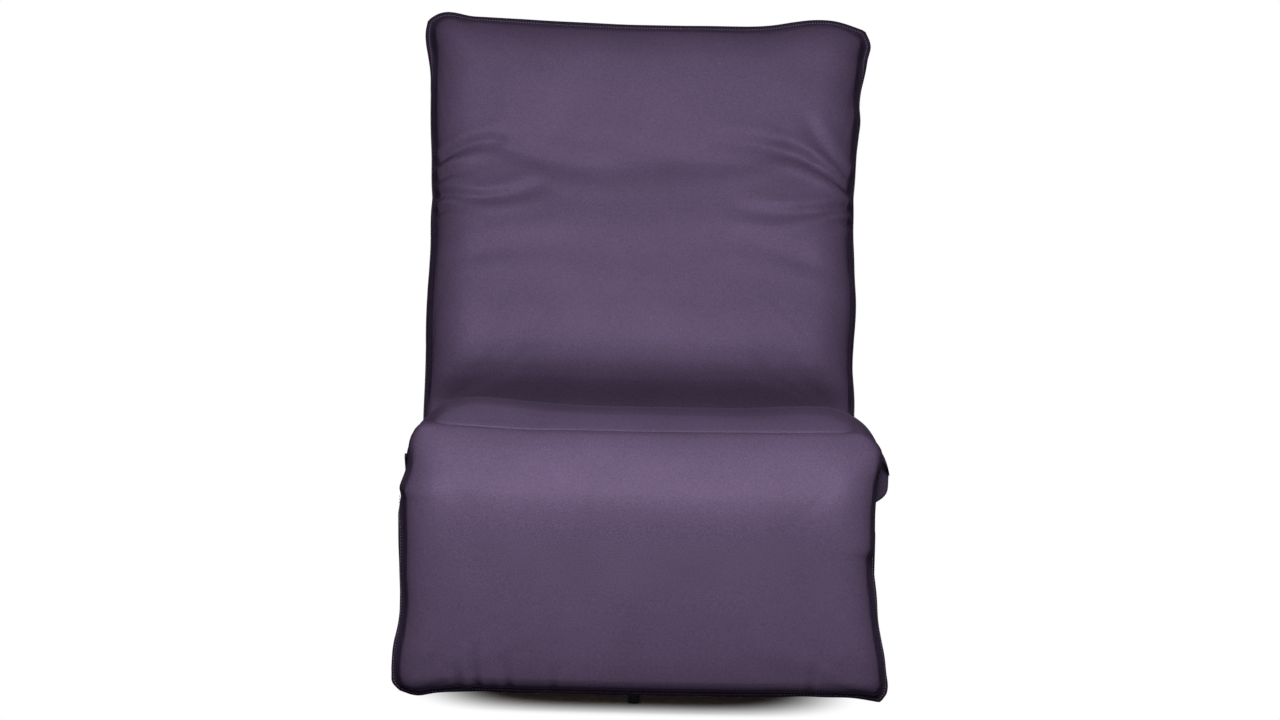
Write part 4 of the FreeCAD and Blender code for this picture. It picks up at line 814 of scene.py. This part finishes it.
def seat_shape(name, half_count):
    """The seat cover: one closed section in y and z, carried from side to side."""
    mid, side = [resample(np.array(SEAT_TOP + low + SEAT_FRONT + [SEAT_TOP[0]]), RING_POINTS)[:-1]
                 for low in (SEAT_LOW_MIDDLE, SEAT_LOW_SIDE)]
    stations = [(-x, h) for x, h in seat_stations(SHOULDER_LEFT, half_count)][::-1]
    stations += seat_stations(SHOULDER_RIGHT, half_count)[1:]
    rows = []
    for x, shoulder in stations:
        mix = min(1, max(0, (abs(x) - SIDE_RAIL) / 0.010))
        ring = mid * (1 - mix) + side * mix
        y, z = ring[:, 0].copy(), ring[:, 1].copy()
        above = z > SEAT_MIDDLE_Z
        lift = (z - SEAT_MIDDLE_Z) * np.where(above, shoulder, 0.25 + 0.75 * shoulder ** 0.6)
        front = np.clip((SEAT_FACE_Y - y) / NOSE_LENGTH, 0, 1)
        y = (SEAT_CENTRE_Y + (y - SEAT_CENTRE_Y) * (0.90 + 0.10 * shoulder ** 0.7)
             + front * (1 - shoulder) * NOSE_BACK)
        drop = through(SEAM_LINE, [x])[0] + SEAM_GAP - SEAT_MIDDLE_Z - lift[0]
        near = (np.clip((SEAM_END - abs(x)) / SEAM_END_FADE, 0, 1)
                * np.clip((SEAM_FROM_Y - y) / SEAM_FROM_FADE, 0, 1))
        lift = lift + np.where(above, near * near * (3 - 2 * near) * drop, 0)
        rows.append(np.stack([np.full(len(y), x), y, SEAT_MIDDLE_Z + lift], -1))
    verts = np.concatenate(rows)
    c = len(rows[0])
    faces = [(i * c + j, (i + 1) * c + j, (i + 1) * c + (j + 1) % c, i * c + (j + 1) % c)
             for i in range(len(rows) - 1) for j in range(c)]
    last = (len(rows) - 1) * c
    for j in range(c // 2):
        rung = (j, j + 1, c - j - 1, (c - j) % c)
        rung = rung[:3] if rung[3] == 0 else rung
        faces += [rung, tuple(last + k for k in reversed(rung))]
    held = [np.array([(x, y, z) for x in np.linspace(-0.34, 0.34, 150)])
            for y, z in SEAT_HELD_LINES]
    held.append(np.array([row[0] for row in rows]))
    held.append(np.concatenate([row[SEAT_HOLD:][row[SEAT_HOLD:, 2] < SEAT_UNDERSIDE]
                                for row in rows]))
    return mesh_object(name, verts, faces), held


seat_skin, seat_held = seat_shape("seat_skin", 62)
inflate(seat_skin, seat_held, 3.0, 0.0035)
co = coords(seat_skin)
co[:, 0] = np.maximum(co[:, 0], SEAT_LEFT_LIMIT)
set_coords(seat_skin, co)
subdivide(seat_skin)
dress(seat_skin, cover)
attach(seat_skin, "seat")
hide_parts("seat_cushion")


# ---------------------------------------------------------------- footrest pad

# outline of the pad: (up, x) at its sides, (x, up) at its bottom
PAD_LEFT = [(0.034, -0.347), (0.045, -0.358), (0.060, -0.3596), (0.082, -0.3585), (0.104, -0.356),
            (0.127, -0.352), (0.171, -0.3485), (0.215, -0.351), (0.260, -0.3516), (0.305, -0.3534),
            (0.327, -0.3530), (0.343, -0.3485), (0.357, -0.3432), (0.3714, -0.3400),
            (0.3934, -0.3388), (0.4052, -0.3372), (0.4156, -0.3325), (0.4230, -0.3280),
            (0.4292, -0.3200)]
PAD_RIGHT = [(0.034, 0.362), (0.045, 0.3700), (0.054, 0.3715), (0.076, 0.369), (0.098, 0.366),
             (0.121, 0.361), (0.143, 0.357), (0.187, 0.351), (0.231, 0.3455), (0.276, 0.3445),
             (0.320, 0.3440), (0.350, 0.3460), (0.366, 0.3478), (0.383, 0.3515), (0.395, 0.3520),
             (0.408, 0.3490), (0.4180, 0.3405), (0.4245, 0.3325), (0.4300, 0.3220)]
PAD_LOW = [(-0.347, 0.034), (-0.324, 0.027), (-0.294, 0.031), (-0.265, 0.034), (-0.15, 0.035),
           (0.0, 0.035), (0.15, 0.036), (0.27, 0.038), (0.33, 0.037), (0.362, 0.033)]
PAD_LOW_Y = -0.412       # the seam along the pad's bottom
PAD_REAR_Y = -0.3765
PAD_BEHIND_Y = -0.3762   # nothing of the pad lies behind this after its swelling
PAD_LIMIT_Y = -0.4790    # ahead of this the swelling is eased off, over PAD_EASE
PAD_EASE = 0.007
PAD_FLANGE = 0.0078      # most that the seam lies inside the pad's outline
PAD_FLANGE_WIDTH = 0.0105
PAD_TURN_FROM = (0.336, 0.262)         # height where the flange starts to turn, left and right
PAD_FLANGE_TOP = (0.330, 0.256)        # its upper ends, left and right


def pad_turn(line):
    """Share of the pad's flange that faces front, 0 above the ends of the flange."""
    start = np.where(line[:, 0] < 0, *PAD_TURN_FROM)
    share = np.clip((start - line[:, 1]) / 0.012, 0, 1)
    low = np.clip((0.075 - line[:, 1]) / 0.03, 0, 1)
    return (0.72 + 0.24 * low) * share * share * (3 - 2 * share)


def pad_seam(front):
    """Depth of the pad's seam: behind that at its top along the bottom."""
    z = front[..., 1]
    low = np.clip((0.14 - z) / 0.10, 0, 1)
    return SEAM_Y + (PAD_LOW_Y - SEAM_Y) * low * low


def pad_crown(front):
    """How far the pad's front stands ahead of its seam."""
    left, right, low, high = edge_distances(front)
    forward = through([(0, 0), (0.005, 0.0052), (0.016, 0.0138), (0.031, 0.0235), (0.051, 0.0340),
                       (0.071, 0.0430), (0.086, 0.0482), (0.106, 0.0520), (0.130, 0.0538),
                       (0.155, 0.0540), (0.20, 0.0532), (0.26, 0.0512), (0.30, 0.0488),
                       (0.335, 0.0452), (0.362, 0.0390), (0.40, 0.0280)], high)
    height = pad_seam(front) - (SEAM_Y - forward)
    return (np.maximum(height, 0) * rise(left, 0.066, 2.5) * rise(right, 0.066, 2.5)
            * rise(low, 0.024, 2.2))


pad_edges = outline_edges(PAD_LEFT, PAD_RIGHT, SEAM_LINE, PAD_LOW,
                          lambda line: PAD_FLANGE * pad_turn(line), across, upward)
pad_skin = pillow("footrest_skin", upright, pad_edges, pad_seam, pad_crown,
                  PAD_REAR_Y, np.array([0.010, 0.006]),
                  [(0.15, 0.002), (0.4, 0.0035), (0.65, 0.002), (0.85, -0.002), (0.96, -0.005)])
pad_seam_line, _, _ = seam_path(pad_edges, SEAM_Y, upright, ("left", "top", "right", "bottom"))
remesh(pad_skin, 0.0052)
held = pad_seam_line.copy()
held[:, 1] = pad_seam(held[None, :, ::2])[0]
inflate(pad_skin, [held], 2.5, 0.0045)
co = coords(pad_skin)
over = np.maximum(PAD_LIMIT_Y - co[:, 1], 0)
co[:, 1] += over - PAD_EASE * np.tanh(over / PAD_EASE)
co[:, 1] = np.minimum(co[:, 1], PAD_BEHIND_Y)
set_coords(pad_skin, co)
PAD_CREASES = [
    ((-0.232, 0.045), (-0.236, 0.120), 0.0065, 0.0050),
    ((-0.185, 0.045), (-0.192, 0.100), 0.0065, 0.0036),
    ((-0.262, 0.045), (-0.270, 0.085), 0.0060, 0.0030),
    ((-0.120, 0.045), (-0.118, 0.085), 0.0060, 0.0028),
    ((0.255, 0.048), (0.262, 0.100), 0.0065, 0.0030),
]
press_creases(pad_skin, PAD_CREASES, upright, SEAM_Y - 0.003)
subdivide(pad_skin)
dress(pad_skin, cover)
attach(pad_skin, "footrest")
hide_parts("footrest_pad")

# the flange runs down both sides from below the top corners and along the bottom
left, right, bottom, top = pad_edges
path = np.concatenate([left[::-1], bottom[1:], right[1:]])
keep = path[:, 1] < np.where(path[:, 0] < 0, *PAD_FLANGE_TOP)
path = resample(path[keep], 420)
tangent = np.gradient(path, axis=0)
across_seam = smooth_along(np.stack([tangent[:, 1], -tangent[:, 0]], -1))
pad_seam_at = np.stack([path[:, 0], pad_seam(path), path[:, 1]], -1)
turned = pad_turn(path)[:, None]
sideways = np.stack([across_seam[:, 0], np.zeros(len(path)), across_seam[:, 1]], -1)
forward = np.array([0, -1.0, 0])
pad_reach = sideways * turned - forward * np.sqrt(1 - turned ** 2)
pad_lift = forward * turned + sideways * np.sqrt(1 - turned ** 2)
wave = (0.0010 * np.sin(np.linspace(0, 40, len(path)))
        + 0.0007 * np.sin(np.linspace(2, 101, len(path))))
from_end = np.minimum(np.arange(len(path)), np.arange(len(path))[::-1])
wide = PAD_FLANGE_WIDTH * np.minimum(1, from_end / 14 + 0.25)
pad_flange = ribbon("footrest_flange", pad_seam_at, pad_reach, pad_lift, -FLANGE_TUCK, wide,
                    FLANGE_THICK, wave[:, None])
dress(pad_flange, shaded_edge_cover)
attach(pad_flange, "footrest")
pad_stitches = stitches("footrest_topstitch",
                        pad_seam_at + pad_reach * 0.0036 + pad_lift * STITCH_LIFT, pad_lift)
dress(pad_stitches, thread)
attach(pad_stitches, "footrest")


# ---------------------------------------------------------------- base covers

PANEL_IN = 0.001         # edges of a panel's cover inside its solid
PANEL_FACE = 0.004       # its seam behind the outer face
PANEL_BACK = 0.0005      # its rear ahead of the inner face
PANEL_PUFF, PANEL_ROUND = 0.007, 0.022


def panel_cover(name, hidden, place, across, up, outer, inner, flip):
    """Padded cover of a flat panel, which spans across and up between its outer and inner face."""
    y0, y1 = across[0] + PANEL_IN, across[1] - PANEL_IN
    z0, z1 = up[0] + PANEL_IN, up[1] - PANEL_IN
    count_across, count_up = 60, 40
    rows, columns = np.linspace(z0, z1, count_up), np.linspace(y0, y1, count_across)
    edges = (np.stack([np.full(count_up, y0), rows], -1),
             np.stack([np.full(count_up, y1), rows], -1),
             np.stack([columns, np.full(count_across, z0)], -1),
             np.stack([columns, np.full(count_across, z1)], -1))

    def crown(front):
        swell = PANEL_PUFF
        for distance in edge_distances(front):
            swell = swell * rise(distance, PANEL_ROUND)
        return swell
    obj = pillow(name, place, edges, lambda f: np.full(f.shape[:2], -(outer - PANEL_FACE)), crown,
                 -(inner + PANEL_BACK), np.array([0.001, 0.001]), [(0.3, 0.001), (0.7, 0.001)],
                 flip=flip)
    subdivide(obj)
    dress(obj, cover)
    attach(obj, "base")
    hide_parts(hidden)


for side, word in ((-1, "left"), (1, "right")):
    low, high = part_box("side_cover_" + word)
    inner, outer = sorted((abs(low.x), abs(high.x)))
    panel_cover("side_skin_" + word, "side_cover_" + word, side_place(side),
                (low.y, high.y), (low.z, high.z), outer, inner, side > 0)


def rear_place(p):
    """Rows of (x, outward from the middle, z) for the rear panel."""
    p = np.asarray(p, float)
    return np.stack([p[..., 0], -p[..., 1], p[..., 2]], -1)


low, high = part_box("rear_panel_cover")
panel_cover("rear_skin", "rear_panel_cover", rear_place,
            (low.x, high.x), (low.z, high.z), high.y, low.y, True)


# ---------------------------------------------------------------- floor, light and camera

def seen_white(tree):
    """1 for rays that show the background: camera, glossy and transmission rays."""
    path = node(tree, "ShaderNodeLightPath")
    seen = node(tree, "ShaderNodeMath", _operation="MAXIMUM")
    both = node(tree, "ShaderNodeMath", _operation="MAXIMUM")
    tree.links.new(path.outputs["Is Camera Ray"], seen.inputs[0])
    tree.links.new(path.outputs["Is Glossy Ray"], seen.inputs[1])
    tree.links.new(seen.outputs[0], both.inputs[0])
    tree.links.new(path.outputs["Is Transmission Ray"], both.inputs[1])
    return both.outputs[0]


def floor_material():
    """Studio floor: white paper with the object's shadow, which fades into white away from it."""
    mat = bpy.data.materials.new("floor_white")
    tree = blank_tree(mat)
    out = tree.nodes.new("ShaderNodeOutputMaterial")
    dim = node(tree, "ShaderNodeBsdfDiffuse", Color=(*(FLOOR_GREY,) * 3, 1))
    paper = node(tree, "ShaderNodeBsdfDiffuse", Color=(*(FLOOR_WHITE,) * 3, 1))
    white = node(tree, "ShaderNodeEmission", Color=(1, 1, 1, 1), Strength=1.0)
    where = node(tree, "ShaderNodeTexCoord")
    spot = node(tree, "ShaderNodeMapping", Scale=FLOOR_SPREAD)
    square = node(tree, "ShaderNodeVectorMath", _operation="MULTIPLY")
    reach = node(tree, "ShaderNodeVectorMath", _operation="LENGTH")
    fade = node(tree, "ShaderNodeMapRange", _interpolation_type="SMOOTHSTEP")
    fade.inputs["From Min"].default_value = FLOOR_FADE[0]
    fade.inputs["From Max"].default_value = FLOOR_FADE[1]
    tree.links.new(where.outputs["Object"], spot.inputs["Vector"])
    tree.links.new(spot.outputs["Vector"], square.inputs[0])
    tree.links.new(spot.outputs["Vector"], square.inputs[1])
    tree.links.new(square.outputs["Vector"], reach.inputs[0])
    tree.links.new(reach.outputs["Value"], fade.inputs["Value"])
    shown = mixed(tree, fade.outputs["Result"], paper.outputs[0], white.outputs[0])
    tree.links.new(mixed(tree, seen_white(tree), dim.outputs[0], shown), out.inputs[0])
    return mat


FLOOR_GREY, FLOOR_WHITE = 0.15, 1.3    # for light that bounces off it, and for the camera
FLOOR_SPREAD = (2.75, 2.35, 1.0)
FLOOR_FADE = (0.40, 0.95)
FLOOR_CORNERS = [(-3.2, -3.4, 0), (3.2, -3.4, 0), (3.2, 2.3, 0), (-3.2, 2.3, 0)]
floor = mesh_object("floor", FLOOR_CORNERS, [(0, 1, 2, 3)], smooth=False)
floor.data.materials.append(floor_material())

scene.world = bpy.data.worlds.new("studio")
tree = blank_tree(scene.world)
out = tree.nodes.new("ShaderNodeOutputWorld")
soft = node(tree, "ShaderNodeBackground", Color=(1, 1, 1, 1), Strength=0.03)
white = node(tree, "ShaderNodeBackground", Color=(1, 1, 1, 1), Strength=1.0)
tree.links.new(mixed(tree, seen_white(tree), soft.outputs[0], white.outputs[0]), out.inputs[0])


def lamp(name, where, target, size, power):
    """A rectangular area lamp, aimed at the target."""
    data = bpy.data.lights.new(name, "AREA")
    data.shape = "RECTANGLE"
    data.size, data.size_y = size
    data.energy = power
    obj = bpy.data.objects.new(name, data)
    scene.collection.objects.link(obj)
    obj.location = where
    obj.rotation_euler = (Vector(target) - Vector(where)).to_track_quat("-Z", "Y").to_euler()


SEAT_FOCUS, FRONT_LAMP = (0, -0.2, 0.5), (0.8, 0.4)
lamp("key_light", (-0.1, -1.85, 1.79), SEAT_FOCUS, FRONT_LAMP, 14)
lamp("front_light", (0.0, -2.46, 1.43), SEAT_FOCUS, FRONT_LAMP, 53)
lamp("rear_light", (0.4, 3.4, 1.3), (0, 0.1, 0.6), (2.4, 1.2), 62)

CAMERA_AT = (-0.069, -5.65, 0.95)
YAW, PITCH, ROLL = math.radians(0.7), math.radians(4.574), math.radians(1.4)
SENSOR = 36                        # mm across the picture
FOCAL = 3588.0 / 1280 * SENSOR     # 3588 px at the photo's width of 1280
ahead = Vector((math.sin(YAW) * math.cos(PITCH), math.cos(YAW) * math.cos(PITCH), -math.sin(PITCH)))
level = Vector((math.cos(YAW), -math.sin(YAW), 0))
above = level.cross(ahead)
right_axis = level * math.cos(ROLL) + above * math.sin(ROLL)
up_axis = above * math.cos(ROLL) - level * math.sin(ROLL)
camera_data = bpy.data.cameras.new("camera")
camera_data.lens = FOCAL
camera_data.sensor_width = SENSOR
camera_data.sensor_fit = "HORIZONTAL"
camera = bpy.data.objects.new("camera", camera_data)
scene.collection.objects.link(camera)
camera.matrix_world = Matrix((
    (right_axis.x, up_axis.x, -ahead.x, CAMERA_AT[0]),
    (right_axis.y, up_axis.y, -ahead.y, CAMERA_AT[1]),
    (right_axis.z, up_axis.z, -ahead.z, CAMERA_AT[2]),
    (0, 0, 0, 1)))
scene.camera = camera
scene.view_settings.view_transform = "Standard"
